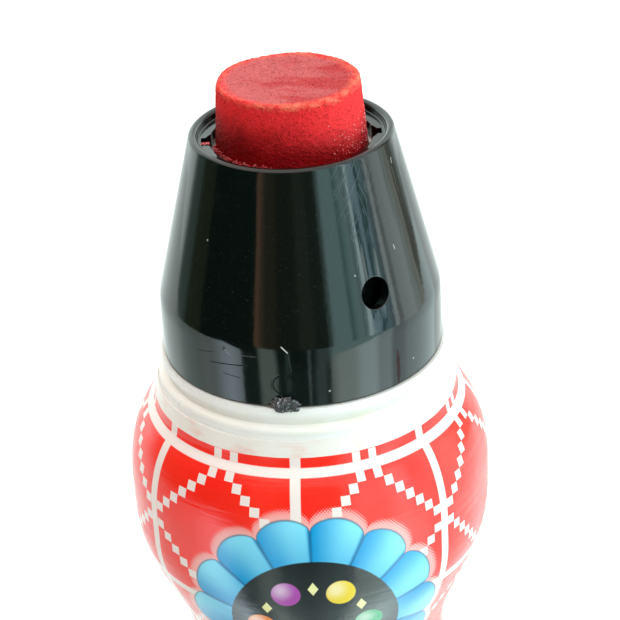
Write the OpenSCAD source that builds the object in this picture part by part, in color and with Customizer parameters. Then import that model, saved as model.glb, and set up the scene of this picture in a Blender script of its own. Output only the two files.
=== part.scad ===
// Bingo dauber: a waisted squeeze bottle with a foam tip on a spring valve.
// Millimetres. The origin is the centre of the standing ring, +Z is up and -Y is the front.

/* [Bottle] */
// Radius of the bulge under the shoulder
bulge_r = 22.0; // [20:0.1:24]
// Radius of the waist
waist_r = 15.9; // [14:0.1:18]
// Radius of the foot at its widest
foot_r = 21.4; // [20:0.1:24]
// Radius of the body just above the heel
heel_top_r = 20.6; // [19:0.1:20.9]
// Radius of the body where the film ends under the collar
shoulder_r = 17.8; // [17.4:0.1:19]
// Radius of the crease in which the shoulder meets the wall above it
crease_r = 18.4; // [18:0.1:19.5]
// Height of the ledge on which the collar stands
body_h = 88; // [84:0.5:94]
// Distance from the ledge down to the crease
crease_drop = 7; // [6:0.1:9]
// Turn of the rounding from the bulge to the crease, in degrees
crease_turn = 68; // [60:1:80]
// Distance from the ledge down to the widest band of the bulge
bulge_drop = 17; // [13:0.5:19]
// Length of the widest band of the bulge
bulge_band = 4; // [2:0.5:7]
// Distance from the widest band down to the waist
waist_drop = 21; // [17:0.5:25]
// Height of the foot's widest line
foot_z = 15; // [11:0.5:20]
// Wall of the bottle
bottle_wall = 1.1; // [0.8:0.1:1.5]
// Radius of the rounding between body and base
heel_r = 4; // [3:0.1:5]
// Width of the flat ring that the bottle stands on
stand_w = 2.4; // [1.5:0.1:3.5]
// Height of the push-up in the base
push_up_h = 2.6; // [1.5:0.1:4]

/* [Shoulder beads] */
// Distance from the collar down to the film's top edge
film_drop = 3.8; // [3.6:0.1:5]
// Radius of the upper bead at its crest
upper_bead_r = 17.25; // [16.9:0.05:17.6]
// Radius of the groove between the beads
groove_r = 16.85; // [16.5:0.05:17.2]
// Radius of the lower bead at its crest
lower_bead_r = 17.7; // [17.3:0.05:18]
// Height of each bead
bead_h = 1.6; // [1.2:0.1:1.8]

/* [Neck] */
// Height of the neck's lip above the ledge
neck_h = 15; // [14:0.25:16]
// Wall of the neck
neck_wall = 1.4; // [1:0.1:1.8]
// Height of the short wall inside the collar's skirt
spigot_h = 2.5; // [1.5:0.1:4]
// Height above the ledge at which the neck turns straight
neck_root_h = 7; // [6:0.25:8]
// How far the snap bead stands out of the neck
snap_d = 0.7; // [0.4:0.05:0.9]
// Distance from the lip down to the snap bead's catch
snap_drop = 3.4; // [3:0.1:4]
// Height of the snap bead's slope
snap_slope_h = 1.8; // [1.2:0.1:2.4]

/* [Film] */
// Thickness of the film
film_t = 0.15; // [0.1:0.05:0.3]
// Gap between the film and the bottle
film_gap = 0.05; // [0.03:0.01:0.1]
// Height of the film's lower edge above the table
film_lift = 4.5; // [4:0.5:10]

/* [Collar] */
// Outer radius of the skirt
skirt_r = 16.9; // [16.5:0.1:18]
// Height of the skirt
skirt_h = 6.7; // [6:0.1:9]
// Rounding of the corner between the skirt and the cone
skirt_corner_r = 2; // [0.5:0.1:4]
// Height of the whole collar above the ledge
collar_h = 27.3; // [25.5:0.1:28]
// Wall of the collar
collar_wall = 1.5; // [1.2:0.1:1.7]
// Gap between the skirt and the ledge that it stands on
collar_gap = 0.1; // [0.05:0.05:0.3]
// Width of the lip round the rim
lip_w = 1.1; // [0.8:0.05:1.3]
// Depth of the deck below the rim
deck_drop = 1; // [0.6:0.1:1.5]
// Thickness of the deck
deck_t = 1.6; // [1.2:0.1:2]
// Width of the deck between its hole and the lip
deck_w = 1.4; // [1:0.1:2]
// Number of notches in the deck's hole
notch_n = 4; // [2:1:8]
// Depth of each notch beyond the hole
notch_d = 1; // [0.6:0.1:1.1]
// Depth of the bevel at the notch's mouth
notch_bevel = 0.5; // [0.2:0.05:0.5]
// Width of each notch at the hole
notch_mouth_w = 3.3; // [2:0.1:4]
// Width of each notch at its outer end
notch_end_w = 1.5; // [1:0.1:2]
// Diameter of the vent hole in the cone
vent_d = 4; // [2:0.1:5]
// Height of the vent hole above the skirt's lower edge
vent_h = 12.1; // [11:0.1:14]
// Turn of the vent hole from the front towards the right, in degrees
vent_turn = 32.8; // [0:0.1:90]
// Wall of the ring that snaps over the neck
ring_wall = 1; // [0.8:0.1:1.3]
// Length of the ring that snaps over the neck
ring_l = 8; // [7:0.25:8.5]
// Thickness of the web that holds the valve seat down
web_t = 1.2; // [0.9:0.1:1.6]

/* [Foam tip] */
// Radius of the foam at its foot
foam_r = 8.9; // [8:0.05:9.5]
// Radius of the foam at its top
foam_top_r = 8.25; // [7.5:0.05:8.7]
// Height of the foam above its seat
foam_h = 9.9; // [8:0.05:12]
// Rounding of the foam's top edge
foam_edge_r = 0.4; // [0.3:0.1:1]
// Depth of the dish worn into the foam's top
foam_dish = 0.5; // [0.1:0.1:1]
// Gap between the foam and the deck's hole
foam_gap = 0.5; // [0.4:0.05:1]

/* [Tip holder] */
// How far the holder's flange catches under the deck
catch_w = 0.8; // [0.5:0.1:1]
// Thickness of the holder's flange
flange_t = 1.2; // [0.8:0.1:1.5]
// Depth of the cup that the foam sits in
cup_d = 1; // [0.6:0.1:1.5]
// Thickness of the cup's floor
cup_floor_t = 1.3; // [1:0.1:1.6]
// Wall of the cup below the flange
cup_wall = 0.9; // [0.6:0.1:1.1]
// Gap between the foam and the cup
cup_gap = 0.1; // [0.05:0.05:0.3]
// Number of ink holes in the cup's floor
ink_hole_n = 8; // [4:1:10]
// Diameter of each ink hole
ink_hole_d = 1.6; // [1:0.1:2]
// Radius of the circle of ink holes
ink_ring_r = 6.4; // [6:0.1:6.8]
// Outer radius of the boss that grips the stem
boss_r = 2.4; // [2:0.1:2.6]
// How far the tip can be pressed in
tip_travel = 1.5; // [0.8:0.1:1.8]
// Gap left between the pieces of the tip and the fixed pieces at their stops
stop_gap = 0.15; // [0.1:0.05:0.25]

/* [Valve] */
// Radius of the valve's stem
stem_r = 1.2; // [0.9:0.05:1.3]
// Gap between the stem and the pieces that it is pressed into
stem_gap = 0.03; // [0.02:0.01:0.05]
// Radius of the orifice in the valve seat
orifice_r = 2.3; // [1.9:0.1:2.5]
// Outer radius of the sealing lip round the orifice
seal_lip_r = 3.1; // [2.8:0.1:3.4]
// Height of the sealing lip
seal_lip_h = 0.5; // [0.3:0.1:0.8]
// Thickness of the seat's flange, plate and pocket floor
seat_t = 1.3; // [1:0.1:1.5]
// Depth of the spring's pocket in the seat
pocket_d = 1.2; // [0.8:0.1:1.6]
// Wall of the spring's pocket
pocket_wall = 1.2; // [0.8:0.1:1.6]
// Width of the seat's flange that the web holds down
seat_hold_w = 0.9; // [0.6:0.1:1.2]
// Length of the plug in the neck
plug_l = 6; // [4.5:0.25:7]
// Wall of the plug in the neck
plug_wall = 1.2; // [0.9:0.1:1.5]
// Gap between the plug and the neck
plug_gap = 0.08; // [0.05:0.01:0.12]
// Thickness of the neck's gasket
gasket_t = 0.4; // [0.3:0.1:0.8]
// Radius of the valve's disc
disc_r = 4; // [3.7:0.1:4.5]
// Thickness of the valve's disc
disc_t = 1; // [0.7:0.1:1.4]
// Gap between the shut disc and its seat
seal_gap = 0.04; // [0.02:0.01:0.06]
// Radius of the head under the disc
head_r = 2.1; // [1.8:0.05:2.2]
// Thickness of the head under the disc
head_t = 0.8; // [0.5:0.1:1.2]
// Length of the stem's lead below the head
lead_h = 1.2; // [0.8:0.1:1.6]

/* [Spring] */
// Diameter of the spring's wire
wire_d = 0.55; // [0.4:0.05:0.6]
// Mean radius of the spring
coil_r = 3.35; // [3.2:0.05:3.45]
// Rise of the spring in one turn
coil_pitch = 1.3; // [1.2:0.05:1.8]
// Gap at each end of the spring
spring_gap = 0.05; // [0.03:0.01:0.1]

/* [Hidden] */

// Overrun of a cut past the faces that it opens
cut = 1;
// Clearance between pieces that slide into each other at assembly
assembly_gap = 0.3;
// Clearance between the ring's bore and the neck's snap bead, and between their catches
snap_gap = 0.12;
// Chamfer at the lower edges of the plug and the ring
lead_in = 0.4;
// Rounding of the neck's lip
lip_round = 0.4;

// Half of the rise over which the slope of the bottle's wall is measured
slope_step = 0.01;

// Steps along one curve of the bottle's outline, round a bead or a corner, and round the rim's lip
curve_n = 14;
bead_n = 8;
lip_n = 8;
// Sides round a piece, and of the spring's wire; rings along one turn of the spring
round_n = 128;
wire_n = 6;
ring_n = 8;

// Radii that follow from the foam outwards
hole_r = foam_r + foam_gap;
flange_r = hole_r + catch_w;
cup_r = foam_r + cup_gap;
web_r = flange_r + assembly_gap;
neck_r = web_r + seat_hold_w;
bore_r = neck_r - neck_wall;
ring_bore_r = neck_r + snap_d + snap_gap;
lip_in_r = hole_r + deck_w;
rim_r = lip_in_r + lip_w;
spigot_r = skirt_r - collar_wall - snap_gap;

// Heights of the collar
collar_z = body_h + collar_gap;
cone_z = collar_z + skirt_h;
rim_z = body_h + collar_h;
lip_round_r = lip_w / 2;
cone_top_z = rim_z - lip_round_r;
// The cone's lean from the vertical, and its wall measured along the radius
cone_lean = atan((skirt_r - rim_r) / (cone_top_z - cone_z));
cone_wall = collar_wall / cos(cone_lean);
deck_z = rim_z - deck_drop;
deck_under_z = deck_z - deck_t;

// Heights of the neck, the seat and the web
neck_z = body_h + neck_h;
snap_z = neck_z - snap_drop;
seat_z = neck_z + gasket_t;
seat_top_z = seat_z + seat_t;
web_top_z = seat_top_z + snap_gap + web_t;
pocket_z = seat_top_z - pocket_d;
seat_floor_z = pocket_z - seat_t;
seal_z = seat_floor_z - seal_lip_h;
pocket_r = coil_r + wire_d / 2 + assembly_gap;

// Heights of the moving tip at rest
flange_top_z = deck_under_z - stop_gap;
cup_z = flange_top_z - cup_d;
cup_under_z = cup_z - cup_floor_t;
boss_z = pocket_z + tip_travel + stop_gap;
foam_top_z = cup_z + foam_h;
disc_top_z = seal_z - seal_gap;
disc_z = disc_top_z - disc_t;
head_z = disc_z - head_t;

// Heights of the bottle below the ledge
film_top_z = body_h - film_drop;
crease_z = body_h - crease_drop;
shoulder_z = body_h - bulge_drop;
bulge_z = shoulder_z - bulge_band;
waist_z = bulge_z - waist_drop;

// The shoulder's rounding: part of an ellipse, from its widest line to the crease
shoulder_round_w = (bulge_r - crease_r) / (1 - cos(crease_turn));
shoulder_round_h = (crease_z - shoulder_z) / sin(crease_turn);
shoulder_mid_r = bulge_r - shoulder_round_w;

// Flat ring that the bottle stands on
stand_out_r = heel_top_r - heel_r;
stand_in_r = stand_out_r - stand_w;

// Radius of the cone at a height
function cone_r(z) = skirt_r - (z - cone_z) * tan(cone_lean);

// Radius of the bottle's body at a height: half waves from foot to waist to bulge, then the rounded shoulder
function body_r(z) =
    z < foot_z ? heel_top_r + (foot_r - heel_top_r) * sin(90 * (z - heel_r) / (foot_z - heel_r)) :
    z < waist_z ? mix_wave(foot_r, waist_r, (z - foot_z) / (waist_z - foot_z)) :
    z < bulge_z ? mix_wave(waist_r, bulge_r, (z - waist_z) / (bulge_z - waist_z)) :
    z < shoulder_z ? bulge_r :
    z < crease_z ? shoulder_mid_r + shoulder_round_w * sqrt(1 - pow((z - shoulder_z) / shoulder_round_h, 2)) :
    crease_r + (shoulder_r - crease_r) * (z - crease_z) / (film_top_z - crease_z);

function mix_wave(a, b, share) = a + (b - a) * (1 - cos(180 * share)) / 2;

// Heights at which the body's outline has points, from one height to another
function body_stops(low, high) = [
    low,
    each spread(max(low, heel_r), foot_z),
    each spread(foot_z, waist_z),
    each spread(waist_z, bulge_z),
    bulge_z,
    each [for (i = [0:curve_n]) shoulder_z + shoulder_round_h * sin(crease_turn * i / curve_n)],
    high
];

function spread(low, high) = [for (i = [1:curve_n - 1]) low + (high - low) * i / curve_n];

// Slope of the body's wall at a height
function body_slope(z) = (body_r(z + slope_step) - body_r(z - slope_step)) / (2 * slope_step);

// Body's outline moved square out of its wall by a distance
function body_line(low, high, out) = [
    for (z = body_stops(low, high))
        let (slope = body_slope(z)) [body_r(z), z] + out / norm([1, slope]) * [1, -slope]
];

// Arc from one angle to another
function arc(r, z, radius, from, to, n) = [
    for (i = [0:n]) let (a = from + (to - from) * i / n) [r + radius * cos(a), z + radius * sin(a)]
];

// Bead from its lower edge to its upper edge: a half wave that stands out of the wall
function bead(low, foot_r, crest_r, top_r) = [
    for (i = [0:bead_n])
        let (share = i / bead_n, wall = foot_r + (top_r - foot_r) * share)
        [wall + (crest_r - wall) * sin(180 * share), low + bead_h * share]
];

// Domed push-up, from the standing ring's inner edge to the centre
function push_up(edge_r, low) = [
    for (i = [0:curve_n]) let (share = i / curve_n)
        [edge_r * (1 - share), low + push_up_h * (1 - cos(180 * share)) / 2]
];

// Outline of the bottle's outside, from the centre of the base up to the neck's lip
function bottle_outside() = let (
    lower_bead_z = film_top_z,
    upper_bead_z = body_h - bead_h
) concat(
    reverse(push_up(stand_in_r, 0)),
    arc(stand_out_r, heel_r, heel_r, -90, 0, curve_n),
    body_line(heel_r + film_gap, film_top_z - film_gap, 0),
    bead(lower_bead_z, shoulder_r, lower_bead_r, groove_r),
    bead(upper_bead_z, groove_r, upper_bead_r, upper_bead_r - collar_gap),
    [
        [upper_bead_r - collar_gap, body_h],
        [spigot_r, body_h],
        [spigot_r, body_h + spigot_h],
        [neck_r, body_h + neck_root_h],
        [neck_r, snap_z],
        [neck_r + snap_d, snap_z],
        [neck_r, snap_z + snap_slope_h]
    ],
    arc(neck_r - lip_round, neck_z - lip_round, lip_round, 0, 90, bead_n)
);

// Outline of the bottle's inside, from the neck's lip down to the centre of the base
function bottle_inside() = concat(
    [
        [bore_r, neck_z],
        [bore_r, body_h + neck_root_h - bottle_wall],
        [spigot_r - bottle_wall, body_h + spigot_h - bottle_wall],
        [spigot_r - bottle_wall, body_h - bottle_wall]
    ],
    reverse(body_line(heel_r, film_top_z, -bottle_wall)),
    reverse(arc(stand_out_r, heel_r, heel_r - bottle_wall, -90, 0, curve_n)),
    push_up(stand_in_r, bottle_wall)
);

function reverse(points) = [for (i = [len(points) - 1:-1:0]) points[i]];

module revolve() {
    rotate_extrude($fn = round_n) children();
}

module tube(outer_r, inner_r, low, high) {
    revolve() polygon([[inner_r, low], [outer_r, low], [outer_r, high], [inner_r, high]]);
}

module bottle() {
    color("ivory") revolve() polygon(concat(bottle_outside(), bottle_inside()));
}

module shrink_sleeve() {
    low = film_lift;
    color("tomato") revolve() polygon(concat(
        body_line(low, film_top_z, film_gap + film_t),
        reverse(body_line(low, film_top_z, film_gap))
    ));
}

// Shell of the collar: skirt, cone, rounded rim and the recessed deck with its round hole
module collar_shell() {
    corner_z = cone_z - skirt_corner_r * tan(cone_lean / 2);
    revolve() polygon(concat(
        [
            [skirt_r - collar_wall, collar_z],
            [skirt_r, collar_z]
        ],
        arc(skirt_r - skirt_corner_r, corner_z, skirt_corner_r, 0, cone_lean, bead_n),
        arc(rim_r - lip_round_r, cone_top_z, lip_round_r, 0, 180, lip_n),
        [
            [lip_in_r, deck_z],
            [hole_r, deck_z],
            [hole_r, deck_under_z],
            [cone_r(deck_under_z) - cone_wall, deck_under_z],
            [skirt_r - collar_wall, cone_z - collar_wall * tan(cone_lean / 2)]
        ]
    ));
}

// Ring that snaps over the neck's bead, and the web that holds the valve seat's flange down
module snap_ring() {
    ring_z = web_top_z - web_t - ring_l;
    ring_r = ring_bore_r + ring_wall;
    catch_z = snap_z - snap_gap;
    web_out_r = cone_r(web_top_z) - collar_wall / 2;
    revolve() polygon([
        [ring_bore_r + lead_in, ring_z],
        [ring_r, ring_z],
        [ring_r, web_top_z - web_t],
        [web_out_r, web_top_z - web_t],
        [web_out_r, web_top_z],
        [web_r, web_top_z],
        [web_r, web_top_z - web_t],
        [ring_bore_r, web_top_z - web_t],
        [ring_bore_r, catch_z],
        [neck_r + snap_gap, catch_z],
        [ring_bore_r, catch_z - snap_slope_h]
    ]);
}

module deck_notches() {
    reach = hole_r - notch_d;
    for (i = [0:notch_n - 1])
        rotate([0, 0, 360 * i / notch_n])
            translate([0, 0, deck_under_z - cut])
                linear_extrude(deck_t + 2 * cut)
                    polygon([
                        [reach, -notch_mouth_w / 2],
                        [hole_r, -notch_mouth_w / 2],
                        [hole_r + notch_bevel, -notch_end_w / 2],
                        [hole_r + notch_d, -notch_end_w / 2],
                        [hole_r + notch_d, notch_end_w / 2],
                        [hole_r + notch_bevel, notch_end_w / 2],
                        [hole_r, notch_mouth_w / 2],
                        [reach, notch_mouth_w / 2]
                    ]);
}

// Vent hole, drilled square to the cone through its wall alone
module vent_hole() {
    vent_z = collar_z + vent_h;
    rotate([0, 0, vent_turn - 90])
        translate([cone_r(vent_z), 0, vent_z])
            rotate([0, 90 - cone_lean, 0])
                translate([0, 0, -collar_wall - assembly_gap])
                    cylinder(h = collar_wall + assembly_gap + cut, d = vent_d, $fn = round_n);
}

module collar() {
    color("black") difference() {
        union() {
            difference() {
                collar_shell();
                vent_hole();
            }
            snap_ring();
        }
        deck_notches();
    }
}

module foam_tip() {
    edge_z = foam_top_z - foam_edge_r;
    color("crimson") revolve() polygon(concat(
        [[0, cup_z], [foam_r, cup_z]],
        arc(foam_top_r - foam_edge_r, edge_z, foam_edge_r, 0, 90, bead_n),
        [for (i = [1:bead_n]) let (share = i / bead_n)
            [(foam_top_r - foam_edge_r) * (1 - share), foam_top_z - foam_dish * sin(90 * share)]]
    ));
}

module tip_holder() {
    socket_top_z = cup_under_z + cup_floor_t / 2;
    cup_out_r = cup_r + cup_wall;
    color("white") difference() {
        revolve() polygon([
            [stem_r + stem_gap, boss_z],
            [boss_r, boss_z],
            [boss_r, cup_under_z],
            [cup_out_r, cup_under_z],
            [cup_out_r, flange_top_z - flange_t],
            [flange_r, flange_top_z - flange_t],
            [flange_r, flange_top_z],
            [cup_r, flange_top_z],
            [cup_r, cup_z],
            [0, cup_z],
            [0, socket_top_z],
            [stem_r + stem_gap, socket_top_z]
        ]);
        for (i = [0:ink_hole_n - 1])
            rotate([0, 0, 360 * (i + 1 / 2) / ink_hole_n])
                translate([ink_ring_r, 0, cup_under_z - cut])
                    cylinder(h = cup_floor_t + 2 * cut, d = ink_hole_d, $fn = round_n / 4);
    }
}

module valve_poppet() {
    socket_top_z = cup_under_z + cup_floor_t / 2;
    stem_top_z = socket_top_z - stem_gap;
    color("whitesmoke") revolve() polygon([
        [0, head_z - lead_h],
        [stem_r / 2, head_z - lead_h],
        [head_r, head_z],
        [head_r, disc_z],
        [stem_r, disc_z],
        [stem_r, stem_top_z],
        [0, stem_top_z]
    ]);
}

module valve_disc() {
    color("dimgray") tube(disc_r, stem_r + stem_gap, disc_z, disc_top_z);
}

module valve_seat() {
    plug_r = bore_r - plug_gap;
    plug_z = seat_z - plug_l;
    color("linen") revolve() polygon([
        [orifice_r, pocket_z],
        [pocket_r, pocket_z],
        [pocket_r, seat_top_z],
        [neck_r, seat_top_z],
        [neck_r, seat_z],
        [plug_r, seat_z],
        [plug_r, plug_z + lead_in],
        [plug_r - lead_in, plug_z],
        [plug_r - plug_wall, plug_z],
        [plug_r - plug_wall, seat_z],
        [pocket_r + pocket_wall, seat_z],
        [pocket_r + pocket_wall, seat_floor_z],
        [seal_lip_r, seat_floor_z],
        [seal_lip_r, seal_z],
        [orifice_r, seal_z]
    ]);
}

module neck_gasket() {
    color("gainsboro") tube(neck_r, bore_r, neck_z, seat_z);
}

// Centre line of the spring: a helix that runs on straight for one wire at each end
spring_low_z = pocket_z + spring_gap + wire_d / 2;
spring_high_z = cup_under_z - spring_gap - wire_d / 2;
spring_turns = (spring_high_z - spring_low_z) / coil_pitch;
spring_rings = ceil(spring_turns * ring_n);
spring_sweep = 360 * spring_turns;

function helix(share) = [
    coil_r * cos(spring_sweep * share),
    coil_r * sin(spring_sweep * share),
    spring_low_z + (spring_high_z - spring_low_z) * share
];

function spring_line() = concat(
    [helix(0) + wire_d * [0, -1, 0]],
    [for (i = [0:spring_rings]) helix(i / spring_rings)],
    [helix(1) + wire_d * [-sin(spring_sweep), cos(spring_sweep), 0]]
);

// One unbroken tube along a line that winds round the Z axis
module wound_tube(line, radius, sides) {
    last = len(line) - 1;
    rings = [
        for (i = [0:last])
            let (
                step = line[min(i + 1, last)] - line[max(i - 1, 0)],
                along = step / norm(step),
                side = cross(along, [0, 0, 1]) / norm(cross(along, [0, 0, 1])),
                up = cross(side, along)
            )
            for (k = [0:sides - 1])
                line[i] + radius * (cos(360 * k / sides) * side + sin(360 * k / sides) * up)
    ];
    walls = [
        for (i = [0:last - 1], k = [0:sides - 1])
            let (a = i * sides + k, b = i * sides + (k + 1) % sides)
            each [[a, a + sides, b], [b, a + sides, b + sides]]
    ];
    foot_cap = [for (k = [1:sides - 2]) [0, k, k + 1]];
    head_cap = [for (k = [1:sides - 2]) [last * sides, last * sides + k + 1, last * sides + k]];
    polyhedron(rings, concat(walls, foot_cap, head_cap));
}

module valve_spring() {
    line = spring_line();
    apart = [
        for (i = [0:len(line) - 1], j = [i + 1:1:len(line) - 1])
            if (j - i > ring_n / 2) norm(line[i] - line[j])
    ];
    echo(spring_least_gap_mm = min(apart) - wire_d);
    color("silver") wound_tube(line, wire_d / 2, wire_n);
}

bottle();
shrink_sleeve();
collar();
foam_tip();
tip_holder();
valve_poppet();
valve_disc();
valve_spring();
valve_seat();
neck_gasket();
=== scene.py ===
"""Looks of a bingo dauber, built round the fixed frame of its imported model."""

import logging
import math
from dataclasses import dataclass, field
from enum import Enum
from typing import Any, ClassVar, Sequence

import bmesh
import bpy
import numpy as np
from mathutils import Matrix, Vector, noise


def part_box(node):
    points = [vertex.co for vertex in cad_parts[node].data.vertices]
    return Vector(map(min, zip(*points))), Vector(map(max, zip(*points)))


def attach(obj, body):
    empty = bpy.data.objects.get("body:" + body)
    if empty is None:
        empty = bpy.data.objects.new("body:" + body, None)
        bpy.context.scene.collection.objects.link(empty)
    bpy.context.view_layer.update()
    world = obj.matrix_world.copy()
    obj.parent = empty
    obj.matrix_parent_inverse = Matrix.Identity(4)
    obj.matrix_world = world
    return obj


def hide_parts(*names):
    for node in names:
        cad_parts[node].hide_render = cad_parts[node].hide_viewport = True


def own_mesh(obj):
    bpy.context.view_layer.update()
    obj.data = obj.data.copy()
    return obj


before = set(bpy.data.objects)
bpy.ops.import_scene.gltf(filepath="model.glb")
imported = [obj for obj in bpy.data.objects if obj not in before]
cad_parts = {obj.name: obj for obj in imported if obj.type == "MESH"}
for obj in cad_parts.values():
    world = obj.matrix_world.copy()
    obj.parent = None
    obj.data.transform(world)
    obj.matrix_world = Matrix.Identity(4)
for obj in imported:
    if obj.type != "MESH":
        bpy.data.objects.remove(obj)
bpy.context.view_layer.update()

LOG = logging.getLogger("dauber")

MM = 0.001
PER_MM = 1000.0
TAU = math.tau

Point = tuple[float, float]
Colour = tuple[float, float, float]


class Body(str, Enum):
    """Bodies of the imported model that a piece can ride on."""

    FIXED = "bottle_and_collar"
    TIP = "tip"


class Slot(str, Enum):
    """Material slot names of the record."""

    BOTTLE = "bottle"
    FILM = "film"
    COLLAR = "collar"
    FOAM = "foam"
    SPRING = "spring"


class Term:
    """A value in a node graph. Python's operators on it add Math nodes."""

    def __init__(self, graph: "Graph", socket: bpy.types.NodeSocket) -> None:
        """Wraps one output socket of a graph."""
        self.graph = graph
        self.socket = socket

    def __add__(self, other: "Term | float") -> "Term":
        """Sum of two values."""
        return self.graph.math("ADD", self, other)

    def __radd__(self, other: float) -> "Term":
        """Sum of a number and this value."""
        return self.graph.math("ADD", other, self)

    def __sub__(self, other: "Term | float") -> "Term":
        """Difference of two values."""
        return self.graph.math("SUBTRACT", self, other)

    def __rsub__(self, other: float) -> "Term":
        """Difference of a number and this value."""
        return self.graph.math("SUBTRACT", other, self)

    def __mul__(self, other: "Term | float") -> "Term":
        """Product of two values."""
        return self.graph.math("MULTIPLY", self, other)

    def __truediv__(self, other: "Term | float") -> "Term":
        """Quotient of two values."""
        return self.graph.math("DIVIDE", self, other)

    def __neg__(self) -> "Term":
        """This value with its sign changed."""
        return self.graph.math("MULTIPLY", self, -1.0)

    def __abs__(self) -> "Term":
        """This value without its sign."""
        return self.graph.math("ABSOLUTE", self)


class Graph:
    """Draws nodes in a shader tree or a geometry tree."""

    def __init__(self, tree: bpy.types.NodeTree) -> None:
        """Starts on a tree whose nodes are to be added."""
        self.tree = tree

    def add(self, kind: str, **settings: Any) -> bpy.types.Node:
        """Adds a node.

        Args:
            kind: Blender's name for the node's type.
            settings: Properties of the node and their values.

        Returns:
            The new node.
        """
        node = self.tree.nodes.new(kind)
        for name, value in settings.items():
            setattr(node, name, value)
        return node

    def feed(self, socket: bpy.types.NodeSocket, value: Any) -> None:
        """Links a term to an input, or sets the input's own value.

        Args:
            socket: The input.
            value: A Term, an output socket, or a plain value.
        """
        if isinstance(value, Term):
            self.tree.links.new(value.socket, socket)
        elif isinstance(value, bpy.types.NodeSocket):
            self.tree.links.new(value, socket)
        elif socket.type == "RGBA" and len(value) == 3:
            socket.default_value = (*value, 1.0)
        else:
            socket.default_value = value

    def math(self, operation: str, *values: Any, clamp: bool = False) -> Term:
        """Adds a Math node.

        Args:
            operation: The node's operation.
            values: Up to three terms or numbers.
            clamp: Whether the result is held between 0 and 1.

        Returns:
            The result.
        """
        return self.chain("ShaderNodeMath", *values, operation=operation, use_clamp=clamp)

    def chain(self, kind: str, *values: Any, **settings: Any) -> Term:
        """Adds a node, feeds its inputs in their order and gives its first output."""
        node = self.add(kind, **settings)
        for socket, value in zip(node.inputs, values):
            self.feed(socket, value)
        return Term(self, node.outputs[0])

    def smooth(self, value: Term, low: float, high: float) -> Term:
        """Soft step that is 0 at low and 1 at high, whichever is the larger."""
        return self.chain("ShaderNodeMapRange", value, low, high, interpolation_type="SMOOTHSTEP")

    def fade(self, value: Term, low: float, high: float) -> Term:
        """Soft step that is 1 at low and 0 at high."""
        return 1.0 - self.smooth(value, low, high)

    def span(self, value: Term, low: float, high: float, start: float, end: float) -> Term:
        """Maps low..high to start..end, held at both ends."""
        return self.chain("ShaderNodeMapRange", value, low, high, start, end)

    def length(self, first: Term, second: Term) -> Term:
        """Length of a step that has two parts at right angles."""
        return self.math("SQRT", first * first + second * second)

    def beside(self, turn: Term, radius: Term, from_deg: float) -> Term:
        """Distance round the axis from a turn in degrees, for a turn in radians and a radius."""
        return (turn - math.radians(from_deg)) * radius

    def blend(self, share: Term, first: "Term | Colour", second: "Term | Colour") -> Term:
        """Mixes two colours, from the first at share 0 to the second at share 1."""
        node = self.add("ShaderNodeMix", data_type="RGBA")
        colours = [s for s in node.inputs if s.type == "RGBA"]
        self.feed(node.inputs[0], share)
        self.feed(colours[0], first)
        self.feed(colours[1], second)
        return Term(self, next(s for s in node.outputs if s.type == "RGBA"))

    def split(self, vector: Term) -> tuple[Term, Term, Term]:
        """The three parts of a vector."""
        node = self.add("ShaderNodeSeparateXYZ")
        self.feed(node.inputs[0], vector)
        return tuple(Term(self, s) for s in node.outputs)

    def join(self, x: Any, y: Any, z: Any) -> Term:
        """A vector of three parts."""
        return self.chain("ShaderNodeCombineXYZ", x, y, z)

    def scaled(self, vector: Any, factor: Term | float) -> Term:
        """A vector times a number."""
        node = self.add("ShaderNodeVectorMath", operation="SCALE")
        self.feed(node.inputs[0], vector)
        self.feed(node.inputs["Scale"], factor)
        return Term(self, node.outputs[0])

    def noise(self, vector: Term, scale: float, detail: float = 2.0, rough: float = 0.5) -> Term:
        """Noise from 0 to 1.

        Args:
            vector: Where the noise is read.
            scale: How many lumps there are in one unit of the vector.
            detail: How many finer layers are added.
            rough: How strong the finer layers are.

        Returns:
            The noise at that place.
        """
        node = self.add("ShaderNodeTexNoise")
        inputs = {"Vector": vector, "Scale": scale, "Detail": detail, "Roughness": rough}
        for name, value in inputs.items():
            self.feed(node.inputs[name], value)
        return Term(self, node.outputs[0])

    def cells(self, vector: Term, scale: float) -> Term:
        """Distance to the nearest of scattered points."""
        node = self.add("ShaderNodeTexVoronoi")
        self.feed(node.inputs["Vector"], vector)
        node.inputs["Scale"].default_value = scale
        return Term(self, node.outputs["Distance"])

    def most(self, *values: Term) -> Term:
        """The largest of several values."""
        result = values[0]
        for value in values[1:]:
            result = self.math("MAXIMUM", result, value)
        return result

    def seen(self, rays: bpy.types.Node) -> Term:
        """1 for rays from the camera and rays through a surface, and 0 for the others."""
        kinds = ("Is Camera Ray", "Is Transmission Ray")
        return self.most(*(Term(self, rays.outputs[kind]) for kind in kinds))


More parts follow.
